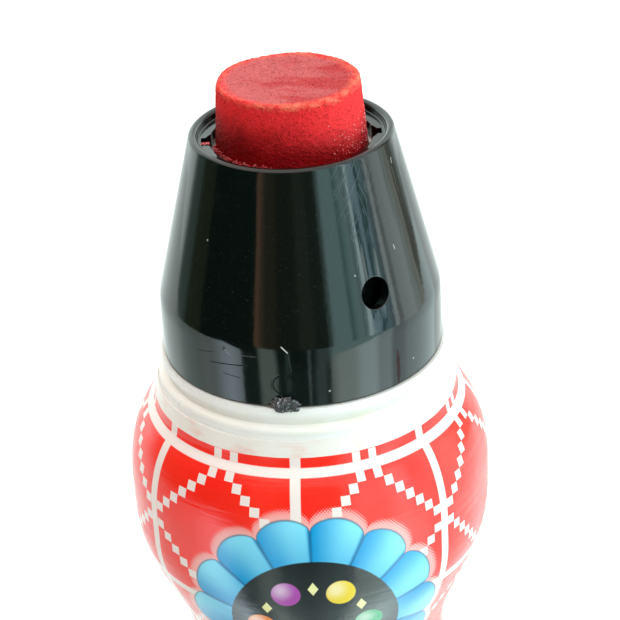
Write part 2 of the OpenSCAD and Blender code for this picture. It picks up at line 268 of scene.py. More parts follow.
class ShaderGraph(Graph):
    """Draws the nodes of one material round its Principled shader."""

    def __init__(self, material: bpy.types.Material) -> None:
        """Starts on a material that uses nodes."""
        super().__init__(material.node_tree)
        self.shader = self.tree.nodes["Principled BSDF"]

    def place(self) -> Term:
        """The point on the object, in millimetres of its own frame."""
        node = self.add("ShaderNodeTexCoord")
        return self.scaled(Term(self, node.outputs["Object"]), PER_MM)

    def attribute(self, name: str) -> Term:
        """A number stored on the mesh."""
        return Term(self, self.add("ShaderNodeAttribute", attribute_name=name).outputs["Fac"])

    def polar(self, place: Term) -> tuple[Term, Term, Term]:
        """A point's turn from the front in radians, its height and its distance from the axis."""
        x, y, z = self.split(place)
        return self.math("ARCTAN2", x, -y), z, self.length(x, y)

    def wear(self, name: str, value: Any) -> None:
        """Sets or links one input of the shader."""
        self.feed(self.shader.inputs[name], value)

    def bump(self, height: Term, depth_mm: float, below: Term | None = None) -> Term:
        """Tilts the surface by a height.

        Args:
            height: Height from 0 to 1.
            depth_mm: How deep a height of 1 is, in millimetres.
            below: A tilt that this one is added to.

        Returns:
            The tilted normal.
        """
        node = self.add("ShaderNodeBump")
        node.inputs["Distance"].default_value = depth_mm * MM
        self.feed(node.inputs["Height"], height)
        if below is not None:
            self.feed(node.inputs["Normal"], below)
        return Term(self, node.outputs[0])


@dataclass(frozen=True)
class Finish:
    """Recipe of a material. A subclass draws its own graph."""

    name: str = "finish"

    def draw(self, graph: ShaderGraph) -> None:
        """Draws the material's nodes."""
        raise NotImplementedError

    def material(self) -> bpy.types.Material:
        """Makes the material, or finds it if it was made before."""
        found = bpy.data.materials.get(self.name)
        if found:
            return found
        made = bpy.data.materials.new(self.name)
        made.use_nodes = True
        self.draw(ShaderGraph(made))
        return made


@dataclass(frozen=True)
class MouldedPlastic(Finish):
    """Natural moulded plastic with a faint grain and, if it was near ink, a stain."""

    name: str = "moulded_plastic"
    colour: Colour = (0.86, 0.84, 0.79)
    dim: Colour = (0.74, 0.71, 0.65)
    stain: Colour = (0.42, 0.012, 0.018)
    stain_share: float = 0.0
    roughness: float = 0.42
    glow: float = 0.12
    scatter: Colour = (0.9, 0.75, 0.55)

    def draw(self, graph: ShaderGraph) -> None:
        """Draws a mottled plastic with a stain that runs where the ink ran."""
        place = graph.place()
        mottle = graph.noise(place, 0.35, 3.0)
        colour = graph.blend(mottle, self.dim, self.colour)
        if self.stain_share > 0:
            runs = graph.noise(place, 0.8, 4.0, 0.6)
            edge = 1.0 - self.stain_share
            colour = graph.blend(graph.smooth(runs, edge - 0.12, edge + 0.08), colour, self.stain)
        graph.wear("Base Color", colour)
        graph.wear("Roughness", graph.span(mottle, 0.3, 0.7, self.roughness - 0.06, self.roughness + 0.06))
        graph.wear("Subsurface Weight", self.glow)
        graph.wear("Subsurface Radius", self.scatter)
        graph.wear("Subsurface Scale", 1.2 * MM)
        graph.wear("Normal", graph.bump(graph.noise(place, 2.2, 3.0), 0.02))


@dataclass(frozen=True)
class BottleWhite(Finish):
    """Milky blown plastic of the bottle, with a beige painted shade in the groove under the collar."""

    name: str = "bottle_white"
    colour: Colour = (0.87, 0.865, 0.84)
    painted_groove_shade: Colour = (0.80, 0.765, 0.68)
    scatter: Colour = (1.0, 0.85, 0.65)
    seam_z: float = 85.8

    def draw(self, graph: ShaderGraph) -> None:
        """Draws the plastic with a beige painted shade in the groove under the collar."""
        place = graph.place()
        _, _, z = graph.split(place)
        patchy = graph.noise(place, 0.22, 3.0)
        # Painted shade: a beige band where the groove between the beads lies in shadow, broken up by patchy
        # noise.
        groove = graph.fade(abs(z - self.seam_z), 0.15, 1.3)
        share = groove * graph.span(patchy, 0.3, 0.7, 0.25, 1.0)
        graph.wear("Base Color", graph.blend(share, self.colour, self.painted_groove_shade))
        graph.wear("Roughness", graph.span(patchy, 0.3, 0.7, 0.27, 0.38))
        graph.wear("Subsurface Weight", 0.25)
        graph.wear("Subsurface Radius", self.scatter)
        graph.wear("Subsurface Scale", 1.5 * MM)
        skin = graph.bump(graph.noise(place, 0.7, 2.0), 0.05)
        graph.wear("Normal", graph.bump(graph.noise(place, 4.0, 2.0), 0.006, skin))


@dataclass(frozen=True)
class Scratch:
    """Straight mark on a round wall, in degrees from the front and millimetres."""

    turn: float
    z: float
    length: float
    lean: float = 0.0
    width: float = 0.1
    strength: float = 1.0

    def mask(self, graph: Graph, turn: Term, z: Term, radius: Term) -> Term:
        """Draws the mark.

        Args:
            graph: The graph that gets the nodes.
            turn: Angle from the front, in radians.
            z: Height in millimetres.
            radius: Distance from the axis in millimetres.

        Returns:
            The mark's strength on it and 0 beside it.
        """
        lean = math.radians(self.lean)
        aside = graph.beside(turn, radius, self.turn)
        up = z - self.z
        off = abs(aside * math.cos(lean) - up * math.sin(lean))
        along = abs(aside * math.sin(lean) + up * math.cos(lean))
        line = graph.fade(off, self.width * 0.25, self.width * 0.75)
        ends = graph.fade(along, self.length * 0.35, self.length * 0.5)
        return line * ends * self.strength


@dataclass(frozen=True)
class CollarBlack(Finish):
    """Glossy black moulded plastic with scuffs, dust and a ring round its gate."""

    name: str = "collar_black"
    colour: Colour = (0.0022, 0.0050, 0.0042)
    worn: Colour = (0.035, 0.040, 0.040)
    nick: Colour = (0.62, 0.62, 0.60)
    stain: Colour = (0.024, 0.006, 0.005)
    dust: Colour = (0.16, 0.16, 0.16)
    gate_turn: float = -8.7
    gate_z: float = 91.0
    gate_ring_r: float = 1.3
    stain_turn: float = 39.6
    stain_z: float = 90.4
    stain_w: float = 0.55
    stain_h: float = 4.6
    scuff_turn: float = 32.0
    scuff_z: float = 112.0
    nicks: tuple[Scratch, ...] = (
        Scratch(-7.6, 95.5, 1.25, -45.0, 0.12),
        Scratch(-31.5, 94.5, 1.3, -50.0, 0.10, 0.22),
        Scratch(-5.7, 93.8, 2.6, -7.0, 0.12, 0.035),
        Scratch(-21.8, 94.4, 2.0, 88.0, 0.10, 0.09),
        Scratch(-46.0, 106.4, 0.26, 0.0, 0.2, 0.5),
        Scratch(24.5, 102.8, 0.24, 0.0, 0.18, 0.45),
        Scratch(48.1, 104.2, 0.7, -12.0, 0.13, 0.55),
        Scratch(48.4, 90.4, 0.26, 0.0, 0.2, 0.6),
        Scratch(63.5, 113.0, 0.8, 12.0, 0.12, 0.5),
        Scratch(9.1, 89.9, 0.26, 0.0, 0.2, 0.6),
    )
    grooves: tuple[Scratch, ...] = (
        Scratch(-31.5, 92.85, 5.6, 83.5, 0.13),
        Scratch(-42.0, 93.7, 3.2, 78.0, 0.10, 0.8),
        Scratch(-30.0, 91.5, 2.6, 95.0, 0.11, 0.7),
        Scratch(-32.7, 94.8, 0.5, 30.0, 0.3, 0.8),
    )

    def draw(self, graph: ShaderGraph) -> None:
        """Draws the plastic, its flow marks, its scratches and the gate's ring."""
        place = graph.place()
        turn, z, radius = graph.polar(place)

        flow = graph.noise(graph.join(turn * 9.0, z * 0.06, 0.0), 0.9, 3.0)
        handled = graph.smooth(graph.noise(place, 0.12, 2.0), 0.55, 0.70) * 0.25
        level = graph.beside(turn, radius, self.scuff_turn)
        upward = z - self.scuff_z
        reach = graph.math("SQRT", level * level + upward * upward * 0.4)
        scuffed = graph.most(handled, graph.fade(reach, 1.5, 4.5))
        upright = graph.noise(graph.join(turn * 30.0 + z * 0.5, z * 0.16, 0.0), 2.6, 0.0)
        leaning = graph.noise(graph.join(turn * 24.0 - z * 1.4, z * 0.12, 4.0), 2.6, 0.0)
        scratch = graph.smooth(graph.most(upright, leaning), 0.67, 0.76) * scuffed * 0.42
        specks = graph.smooth(graph.noise(place, 7.0, 1.0), 0.73, 0.78)
        colour = graph.blend(scratch, self.colour, self.worn)
        colour = graph.blend(specks * 0.35, colour, self.dust)

        white = graph.most(*(nick.mask(graph, turn, z, radius) for nick in self.nicks))
        groove = graph.most(*(line.mask(graph, turn, z, radius) for line in self.grooves))
        colour = graph.blend(white, colour, self.nick)

        aside = graph.beside(turn, radius, self.stain_turn) / (self.stain_w / 2)
        above = (z - self.stain_z) / (self.stain_h / 2)
        drip = graph.length(aside, above) + (graph.noise(place, 0.9, 3.0) - 0.5) * 1.1
        stained = graph.fade(drip, 0.7, 1.25)
        colour = graph.blend(stained, colour, self.stain)
        graph.wear("Base Color", colour)

        haze = graph.noise(place, 0.5, 4.0, 0.65)
        dull = graph.most(scratch * 0.3, white, groove * 0.7, stained * 0.5)
        graph.wear("Roughness", graph.span(haze, 0.3, 0.75, 0.05, 0.11) + dull * 0.6)
        graph.wear("Specular IOR Level", 0.5 - graph.most(groove * 0.4, stained * 0.36))
        graph.wear("IOR", 1.46)

        away = graph.length(graph.beside(turn, radius, self.gate_turn), z - self.gate_z)
        ring = graph.fade(abs(away - self.gate_ring_r), 0.02, 0.20)
        skin = graph.bump(flow, 0.008)
        skin = graph.bump(ring, 0.012, skin)
        skin = graph.bump(scratch, 0.012, skin)
        graph.wear("Normal", graph.bump(graph.noise(place, 1.6, 2.0), 0.004, skin))


@dataclass(frozen=True)
class TornPlastic(Finish):
    """Black plastic torn off at the gate, whitened where it stretched."""

    name: str = "torn_plastic"
    colour: Colour = (0.035, 0.035, 0.038)
    whitened: Colour = (0.42, 0.42, 0.44)

    def draw(self, graph: ShaderGraph) -> None:
        """Draws the torn plastic with pale stretched specks."""
        place = graph.place()
        specks = graph.smooth(graph.noise(place, 3.2, 3.0, 0.7), 0.54, 0.66)
        graph.wear("Base Color", graph.blend(specks, self.colour, self.whitened))
        graph.wear("Roughness", graph.span(specks, 0.0, 1.0, 0.3, 0.6))
        graph.wear("Normal", graph.bump(graph.noise(place, 5.0, 3.0), 0.08))


@dataclass(frozen=True)
class InkedFoam(Finish):
    """Porous foam soaked in red ink: dusty on top, ragged at the edge, wet at the foot, with painted light on
    its right side and painted shade on its left side and in its pits.
    """

    name: str = "inked_foam"
    top_z: float = 121.45
    top_r: float = 8.25
    dusty: Colour = (0.52, 0.108, 0.112)
    smeared: Colour = (0.45, 0.036, 0.040)
    edge: Colour = (0.90, 0.25, 0.15)
    bright: Colour = (0.76, 0.024, 0.028)
    lit: Colour = (0.88, 0.040, 0.044)
    deep: Colour = (0.27, 0.0022, 0.0038)
    # Painted shade, used in the pits of the pores and on the left side.
    painted_shade: Colour = (0.16, 0.0015, 0.002)
    dusty_fleck: Colour = (0.66, 0.28, 0.27)
    lit_fleck: Colour = (0.95, 0.26, 0.25)

    def draw(self, graph: ShaderGraph) -> None:
        """Draws the foam's zones by height and radius, with pores and grain over them, painted light on the
        right and painted shade on the left and in the pits.
        """
        place = graph.place()
        x, y, z = graph.split(place)
        radius = graph.length(x, y)
        blotch = graph.noise(place, 0.28, 3.0)
        grain = graph.noise(place, 3.4, 3.0, 0.6)
        fine = graph.noise(place, 9.0, 2.0, 0.6)
        pits = graph.cells(place, 2.9)

        # Painted light: the dark wet zone is pushed lower towards the right, where the light falls.
        lit_side_lift = graph.smooth(x, 0.5, 6.5) * 1.6
        down = self.top_z - z + (blotch - 0.5) * 3.4 + (grain - 0.5) * 2.2 - lit_side_lift
        wet = graph.smooth(down, 1.6, 6.2)
        # Painted light: the side turns lighter towards the right.
        lit_right_side = graph.blend(graph.smooth(x + (blotch - 0.5) * 3.0, 0.5, 7.0), self.bright, self.lit)
        side = graph.blend(wet, lit_right_side, self.deep)
        # Painted shade: the wet side darkens towards the left, away from the light.
        left = graph.smooth(x * -1.0 + (blotch - 0.5) * 6.0, 0.5, 8.5)
        side = graph.blend(left * wet * 0.75, side, self.painted_shade)

        ragged_r = radius + (grain - 0.5) * 1.6 + (blotch - 0.5) * 1.5
        inside = graph.fade(ragged_r, self.top_r - 1.7, self.top_r)
        high = graph.smooth(z, self.top_z - 1.3, self.top_z - 0.9)
        top = inside * high
        streaks = graph.noise(graph.join(x * 0.7 + y * 0.5, y * 1.3, z), 0.30, 3.0, 0.6)
        worn = graph.span(x - y * 0.3, -3.0, 4.0, -0.10, 0.13)
        smear = graph.smooth(streaks + worn, 0.46, 0.70)
        dusty = graph.blend(smear * 0.9, self.dusty, self.smeared)
        dusty = graph.blend(graph.smooth(fine, 0.52, 0.72) * 0.45, dusty, self.dusty_fleck)

        gaps = graph.span(graph.noise(place, 1.1, 2.0), 0.35, 0.62, 0.05, 0.75)
        broken = gaps * graph.span(x, -8.0, 2.0, 0.5, 1.0)
        ragged_z = z + (grain - 0.5) * 1.9 + (blotch - 0.5) * 0.8
        fray = graph.smooth(ragged_z, self.top_z - 0.85, self.top_z - 0.15)
        colour = graph.blend(fray * broken, side, self.edge)
        colour = graph.blend(top, colour, dusty)
        speck = graph.smooth(fine, 0.60, 0.76) * (1.0 - wet * 0.6)
        colour = graph.blend(speck * 0.32, colour, self.lit_fleck)
        # Painted shade: the pits of the pores are darkened.
        dark = graph.fade(pits, 0.10, 0.34) * graph.smooth(grain, 0.44, 0.6)
        colour = graph.blend(dark * 0.4, colour, self.painted_shade)
        graph.wear("Base Color", colour)

        graph.wear("Roughness", graph.span(wet, 0.0, 1.0, 0.88, 0.40))
        graph.wear("Specular IOR Level", 0.07)
        coarse = graph.bump(graph.smooth(pits, 0.05, 0.5), 0.10)
        graph.wear("Normal", graph.bump(fine * 0.5 + grain * 0.5, 0.16, coarse))


@dataclass(frozen=True)
class WetInk(Finish):
    """Ink that stands on the foam in beads, or has hardened to a crust. On the beads its pale patches are a
    painted glint.
    """

    name: str = "wet_ink"
    colour: Colour = (0.36, 0.004, 0.008)
    dried_and_glint: Colour = (0.55, 0.10, 0.10)
    roughness: float = 0.12

    def draw(self, graph: ShaderGraph) -> None:
        """Draws dark ink with paler patches: hardened ink on the crust and the skin, and a painted glint on
        the beads.
        """
        place = graph.place()
        patch = graph.smooth(graph.noise(place, 1.8, 3.0, 0.6), 0.45, 0.62)
        graph.wear("Base Color", graph.blend(patch, self.colour, self.dried_and_glint))
        graph.wear("Roughness", graph.span(patch, 0.0, 1.0, self.roughness, self.roughness + 0.35))
        graph.wear("Normal", graph.bump(graph.noise(place, 6.0, 2.0), 0.03))


@dataclass(frozen=True)
class SteelWire(Finish):
    """Drawn stainless wire."""

    name: str = "steel_wire"
    colour: Colour = (0.58, 0.58, 0.57)
    groove: Colour = (0.42, 0.42, 0.41)

    def draw(self, graph: ShaderGraph) -> None:
        """Draws bright wire with drawing lines."""
        lines = graph.noise(graph.place(), 12.0, 2.0)
        graph.wear("Base Color", graph.blend(lines, self.groove, self.colour))
        graph.wear("Metallic", 1.0)
        graph.wear("Roughness", graph.span(lines, 0.3, 0.7, 0.24, 0.36))


@dataclass(frozen=True)
class SealRubber(Finish):
    """Matt black rubber of the valve's disc."""

    name: str = "seal_rubber"
    colour: Colour = (0.035, 0.035, 0.038)
    bloom: Colour = (0.07, 0.068, 0.066)

    def draw(self, graph: ShaderGraph) -> None:
        """Draws rubber with a dusty bloom."""
        place = graph.place()
        dusty = graph.noise(place, 1.5, 4.0)
        graph.wear("Base Color", graph.blend(dusty, self.colour, self.bloom))
        graph.wear("Roughness", graph.span(dusty, 0.3, 0.7, 0.6, 0.78))
        graph.wear("Normal", graph.bump(graph.noise(place, 8.0, 2.0), 0.01))


@dataclass(frozen=True)
class PrintedFilm(Finish):
    """Shrink film with an argyle plaid and a round rosette of ribbon with coloured dots."""

    name: str = "printed_film"
    red: Colour = (0.92, 0.017, 0.006)
    line: Colour = (0.86, 0.76, 0.73)
    bare: Colour = (0.86, 0.82, 0.77)
    smudge: Colour = (0.86, 0.62, 0.55)
    print_top: float = 1.95
    print_low_z: float = 5.6
    columns: int = 7
    band_turn: float = -5.5
    shrink_skew: float = 0.104
    band_drop: float = 3.85
    row_h: float = 19.4
    band_w: float = 1.22
    chain_steps: int = 16
    rosette_turn: float = -1.5
    rosette_z: float = 60.0
    rosette_r: float = 15.2
    scallop: float = 0.9
    petals: int = 14
    window_r: float = 10.4
    ribbon_light: Colour = (0.23, 0.74, 0.95)
    ribbon_dark: Colour = (0.002, 0.32, 0.68)
    ribbon_fold: Colour = (0.01, 0.10, 0.22)
    ribbon_rim: Colour = (0.02, 0.12, 0.20)
    window_high: Colour = (0.012, 0.016, 0.018)
    window_low: Colour = (0.075, 0.088, 0.095)
    dots: tuple[Colour, ...] = (
        (0.88, 0.66, 0.05),
        (0.01, 0.34, 0.12),
        (0.80, 0.06, 0.16),
        (0.05, 0.26, 0.70),
        (0.86, 0.26, 0.03),
        (0.42, 0.08, 0.42),
    )
    dot_ring_r: float = 6.5
    dot_r: float = 1.75
    diamond: Colour = (0.86, 0.84, 0.42)

    def plaid(self, graph: ShaderGraph, turn: Term, down: Term, radius: Term) -> Term:
        """Draws the plaid's white lines.

        Args:
            graph: The material's graph.
            turn: Angle from the front, in radians.
            down: Length along the film from its upper edge, in millimetres.
            radius: Distance from the axis in millimetres.

        Returns:
            1 on a white line and 0 between them.
        """
        column = TAU / self.columns
        around = turn - math.radians(self.band_turn)
        skew = (1.0 - graph.math("COSINE", around)) * self.shrink_skew
        along = graph.math("FRACT", around / column + skew + 4.5)
        up = graph.math("FRACT", (self.band_drop - down) / self.row_h + 9.0)

        upright = abs(along - 0.5) * radius * column
        level = graph.math("MINIMUM", up, 1.0 - up) * self.row_h
        half = self.band_w / 2
        bands = graph.most(
            graph.fade(upright, half - 0.07, half + 0.07),
            graph.fade(level, half - 0.07, half + 0.07),
        )
        step_u = along * float(self.chain_steps)
        step_v = up * float(self.chain_steps)
        at_u = graph.math("ROUND", step_u)
        at_v = graph.math("ROUND", step_v)
        square = graph.fade(abs(step_u - at_u), 0.46, 0.50) * graph.fade(abs(step_v - at_v), 0.46, 0.50)
        rising = graph.math("LESS_THAN", abs(at_u - at_v), 0.5)
        falling = graph.math("LESS_THAN", abs(at_u + at_v - float(self.chain_steps)), 0.5)
        return graph.most(bands, square * graph.most(rising, falling))

    def rosette(self, graph: ShaderGraph, under: Term, turn: Term, z: Term, radius: Term) -> Term:
        """Draws the rosette over the plaid: pleated ribbon, a dark window, dots and diamonds.

        Args:
            graph: The material's graph.
            under: The colour of the plaid.
            turn: Angle from the front, in radians.
            z: Height in millimetres.
            radius: Distance from the axis in millimetres.

        Returns:
            The colour with the rosette laid over it.
        """
        across = graph.beside(turn, radius, self.rosette_turn)
        up = z - self.rosette_z
        away = graph.length(across, up)
        angle = graph.math("ARCTAN2", across, up)

        pleat = graph.math("FRACT", angle / TAU * float(self.petals) + 8.0)
        crown = graph.math("SQRT", graph.math("SINE", pleat * math.pi, clamp=True))
        rim = (self.rosette_r - self.scallop) + crown * (2.0 * self.scallop)
        beyond = away - rim
        halo = graph.fade(beyond, 0.0, 1.9)
        screen = graph.math("SINE", across * 16.0) * graph.math("SINE", up * 16.0) * 0.5 + 0.5
        tint = graph.smooth(screen + halo * 1.3, 0.85, 1.25) * graph.smooth(halo, 0.02, 0.4)
        colour = graph.blend(tint * 0.5, under, self.line)

        lit = graph.smooth(pleat, 0.0, 0.75) * graph.fade(pleat, 0.9, 1.0)
        inner = graph.span(away, self.window_r, self.rosette_r, 0.9, 0.0)
        sheen = graph.math("MULTIPLY", lit, 1.0 - inner * 0.55, clamp=True)
        ribbon = graph.blend(sheen, self.ribbon_dark, self.ribbon_light)
        fold = graph.fade(graph.math("MINIMUM", pleat, 1.0 - pleat), 0.0, 0.06)
        ribbon = graph.blend(fold * 0.7, ribbon, self.ribbon_fold)
        colour = graph.blend(graph.fade(beyond, -0.08, 0.08), colour, ribbon)
        edge = graph.fade(abs(beyond), 0.0, 0.22)
        colour = graph.blend(edge * 0.75, colour, self.ribbon_rim)

        glow = graph.span(up, -self.window_r, self.window_r, 1.0, 0.0)
        dark = graph.blend(glow, self.window_high, self.window_low)
        window = graph.fade(away, self.window_r - 0.1, self.window_r + 0.1)
        colour = graph.blend(window, colour, dark)

        places = len(self.dots)
        for index, hue in enumerate(self.dots):
            colour = self.dot(graph, colour, across, up, TAU * (index + 0.5) / places, hue)
            colour = self.lozenge(graph, colour, across, up, TAU * index / places)
        return colour

    def dot(
        self, graph: ShaderGraph, under: Term, across: Term, up: Term, spin: float, hue: Colour
    ) -> Term:
        """Lays one shaded dot on the ring of dots.

        Args:
            graph: The material's graph.
            under: The colour beneath.
            across: Distance sideways from the rosette's centre, in millimetres.
            up: Distance upwards from it.
            spin: The dot's angle round the ring, in radians.
            hue: The dot's colour.

        Returns:
            The colour with the dot on it.
        """
        dx = across - self.dot_ring_r * math.sin(spin)
        dy = up - self.dot_ring_r * math.cos(spin)
        gleam = graph.length(dx + self.dot_r * 0.35, dy - self.dot_r * 0.35)
        pale = tuple(min(1.0, part * 0.6 + 0.42) for part in hue)
        shaded = graph.blend(graph.smooth(gleam, 0.0, self.dot_r * 1.1), pale, hue)
        inside = graph.fade(graph.length(dx, dy), self.dot_r - 0.08, self.dot_r + 0.08)
        return graph.blend(inside, under, shaded)

    def lozenge(self, graph: ShaderGraph, under: Term, across: Term, up: Term, spin: float) -> Term:
        """Lays one small diamond between two dots."""
        dx = abs(across - self.dot_ring_r * math.sin(spin))
        dy = abs(up - self.dot_ring_r * math.cos(spin))
        return graph.blend(graph.fade(dx * 1.5 + dy, 0.85, 1.05), under, self.diamond)

    def draw(self, graph: ShaderGraph) -> None:
        """Draws the print, the bare band above it and the film's creases."""
        place = graph.place()
        turn, z, radius = graph.polar(place)
        down = graph.attribute(Film.LENGTH) * PER_MM

        fade = graph.noise(place, 0.15, 2.0)
        paler = tuple(min(1.0, part * 1.06 + 0.012) for part in self.red)
        red = graph.blend(fade, self.red, paler)
        colour = graph.blend(self.plaid(graph, turn, down, radius), red, self.line)
        colour = self.rosette(graph, colour, turn, z, radius)

        smudges = graph.smooth(graph.noise(graph.join(turn * 10.0, z * 1.2, 0.0), 0.55, 3.0), 0.5, 0.72)
        bare = graph.blend(smudges * 0.75, self.bare, self.smudge)
        wave = graph.noise(graph.join(turn * 6.0, 0.0, 0.0), 1.0, 1.0) * 0.12
        above = graph.fade(down - wave, self.print_top - 0.05, self.print_top + 0.03)
        below = graph.fade(z, self.print_low_z - 0.05, self.print_low_z + 0.05)
        colour = graph.blend(graph.most(above, below), colour, bare)
        graph.wear("Base Color", colour)

        graph.wear("Roughness", graph.span(graph.noise(place, 0.4, 3.0), 0.3, 0.7, 0.16, 0.27))
        graph.wear("IOR", 1.44)
        ringed = graph.noise(graph.join(turn * 2.2, z * 1.5, 0.0), 0.8, 3.0, 0.6)
        crease = graph.bump(ringed, 0.08)
        graph.wear("Normal", graph.bump(graph.noise(place, 1.3, 2.0), 0.02, crease))


@dataclass(frozen=True)
class Strip:
    """Upright strip of light or shade in the room, between two turns in degrees from the front."""

    start: float
    end: float
    colour: Colour
    soft: float = 1.5


def paint_strips(graph: Graph, turn: Term, ground: Colour, strips: Sequence[Strip]) -> Term:
    """Lays strips over a ground, each over those before it.

    Args:
        graph: The graph that gets the nodes.
        turn: Turn from the front towards the right, in degrees.
        ground: The colour where there is no strip.
        strips: The strips, from the lowest to the topmost.

    Returns:
        The colour at that turn.
    """
    colour: Term | Colour = ground
    for strip in strips:
        start = graph.smooth(turn, strip.start - strip.soft, strip.start + strip.soft)
        end = graph.smooth(turn, strip.end - strip.soft, strip.end + strip.soft)
        colour = graph.blend(start * (1.0 - end), colour, strip.colour)
    return colour


@dataclass(frozen=True)
class StudioWhite(Finish):
    """Pale sheet that the camera sees as white. A mirror sees a painted reflection of how the window's light
    lies on it.
    """

    name: str = "studio_white"
    colour: Colour = (0.62, 0.62, 0.62)
    lift: float = 0.30
    painted_sheen: Colour = (1.25, 1.42, 1.38)
    front_edge: float = 182.0
    before: Colour = (0.05, 0.06, 0.055)
    strips: tuple[Strip, ...] = (
        Strip(-112.0, -86.0, (0.90, 1.12, 1.06), 7.0),
        Strip(-68.0, -50.0, (2.9, 3.5, 3.85), 10.0),
        Strip(-49.0, 20.0, (0.12, 0.17, 0.15), 1.5),
        Strip(-35.0, -21.5, (1.45, 1.80, 1.60), 2.5),
        Strip(-15.0, -10.5, (0.36, 0.56, 0.52), 1.5),
        Strip(2.6, 4.6, (0.95, 1.30, 1.25), 0.8),
        Strip(8.0, 17.0, (0.60, 0.88, 0.85), 3.0),
        Strip(22.5, 62.0, (2.95, 3.7, 3.4), 5.0),
        Strip(42.0, 62.0, (3.95, 5.0, 5.0), 5.0),
        Strip(59.0, 74.0, (2.65, 3.3, 3.35), 4.0),
        Strip(73.0, 86.0, (1.5, 1.8, 1.85), 3.0),
        Strip(86.0, 132.0, (1.82, 2.22, 2.22), 3.0),
    )
    far_strips: tuple[Strip, ...] = (
        Strip(-35.0, -22.0, (1.45, 1.80, 1.60), 2.5),
        Strip(-14.5, -11.5, (0.40, 0.60, 0.58), 1.5),
        Strip(2.6, 4.6, (0.85, 1.15, 1.10), 0.8),
        Strip(9.0, 20.0, (0.60, 0.86, 0.82), 4.0),
        Strip(20.0, 60.0, (1.75, 2.75, 2.65), 3.0),
    )

    def draw(self, graph: ShaderGraph) -> None:
        """Draws a matt sheet, lifted for the camera, and for glossy rays a painted sheen in strips by turn.
        """
        graph.wear("Base Color", self.colour)
        graph.wear("Roughness", 0.9)
        graph.wear("Specular IOR Level", 0.1)
        rays = graph.add("ShaderNodeLightPath")
        lift = graph.add("ShaderNodeEmission")
        graph.feed(lift.inputs["Strength"], graph.seen(rays) * self.lift)
        sheet = graph.add("ShaderNodeAddShader")
        graph.feed(sheet.inputs[0], graph.shader.outputs[0])
        graph.feed(sheet.inputs[1], lift.outputs[0])

        # Painted reflection: glossy rays see an emission painted with the window's light on the table, and a
        # dark room beyond its front edge.
        x, y, _ = graph.split(graph.place())
        turn = graph.math("ARCTAN2", x, -y) * math.degrees(1.0)
        near = paint_strips(graph, turn, self.painted_sheen, self.strips)
        far = paint_strips(graph, turn, self.before, self.far_strips)
        sheen = graph.add("ShaderNodeEmission")
        in_front = graph.smooth(-y, self.front_edge - 4.0, self.front_edge + 4.0)
        graph.feed(sheen.inputs["Color"], graph.blend(in_front, near, far))
        both = graph.add("ShaderNodeMixShader")
        graph.feed(both.inputs[0], rays.outputs["Is Glossy Ray"])
        graph.feed(both.inputs[1], sheet.outputs[0])
        graph.feed(both.inputs[2], sheen.outputs[0])
        end = next(n for n in graph.tree.nodes if n.type == "OUTPUT_MATERIAL")
        graph.feed(end.inputs["Surface"], both.outputs[0])


def new_piece(name: str, mesh: bpy.types.Mesh, finish: Finish | None = None) -> bpy.types.Object:
    """Puts a mesh in the scene as a named object.

    Args:
        name: The piece's name.
        mesh: Its mesh, with its place in its points.
        finish: Its material's recipe.

    Returns:
        The new object.
    """
    mesh.name = name
    piece = bpy.data.objects.new(name, mesh)
    bpy.context.scene.collection.objects.link(piece)
    if finish is not None:
        mesh.materials.clear()
        mesh.materials.append(finish.material())
    return piece


def plain_mesh(name: str, body: bmesh.types.BMesh) -> bpy.types.Mesh:
    """Turns edited geometry into a mesh and frees it."""
    mesh = bpy.data.meshes.new(name)
    body.to_mesh(mesh)
    body.free()
    return mesh


def bridge(body: bmesh.types.BMesh, rows: list[list[bmesh.types.BMVert]], closed: bool = False) -> None:
    """Spans faces between neighbouring rows of points, all the way round where the rows are closed."""
    for first, second in zip(rows, rows[1:]):
        for a in range(len(first) if closed else len(first) - 1):
            b = (a + 1) % len(first)
            body.faces.new((first[a], first[b], second[b], second[a]))


def settle(piece: bpy.types.Object) -> None:
    """Turns a piece's modifiers into plain mesh and removes them."""
    depsgraph = bpy.context.evaluated_depsgraph_get()
    made = bpy.data.meshes.new_from_object(piece.evaluated_get(depsgraph))
    old = piece.data
    piece.modifiers.clear()
    piece.data = made
    made.name = piece.name
    if old.users == 0:
        bpy.data.meshes.remove(old)


def thicken(piece: bpy.types.Object, thickness_mm: float) -> None:
    """Gives a sheet its thickness, inwards from its face."""
    wall = piece.modifiers.new("wall", "SOLIDIFY")
    wall.thickness = thickness_mm * MM
    wall.offset = -1.0
    settle(piece)


def cut_away(piece: bpy.types.Object, cutter: bpy.types.Object) -> None:
    """Cuts one closed piece out of another and removes the cutter."""
    step = piece.modifiers.new("cut", "BOOLEAN")
    step.operation = "DIFFERENCE"
    step.solver = "EXACT"
    step.object = cutter
    settle(piece)
    tool = cutter.data
    bpy.data.objects.remove(cutter)
    bpy.data.meshes.remove(tool)


def shade(mesh: bpy.types.Mesh, crease_deg: float = 32.0) -> None:
    """Shades a mesh smooth, but for edges sharper than an angle."""
    mesh.polygons.foreach_set("use_smooth", [True] * len(mesh.polygons))
    mesh.set_sharp_from_angle(angle=math.radians(crease_deg))


def rounded(corners: Sequence[tuple[float, float, float]], steps: int = 6) -> list[Point]:
    """Rounds the corners of an outline.

    Args:
        corners: Radius, height and rounding of each corner, in millimetres.
        steps: Steps along each rounding.

    Returns:
        The outline's points, in millimetres. The first and last corner stay as they are.
    """
    line = [Vector((c[0], c[1])) for c in corners]
    points: list[Point] = [tuple(line[0])]
    for before, here, after, corner in zip(line, line[1:], line[2:], corners[1:]):
        if corner[2] <= 0:
            points.append(tuple(here))
            continue
        back = (before - here).normalized()
        ahead = (after - here).normalized()
        half = back.angle(ahead) / 2
        reach = min(corner[2] / math.tan(half), (before - here).length * 0.49, (after - here).length * 0.49)
        start, end = here + back * reach, here + ahead * reach
        for step in range(steps + 1):
            t = step / steps
            points.append(tuple(start * (1 - t) ** 2 + here * 2 * t * (1 - t) + end * t**2))
    points.append(tuple(line[-1]))
    return points


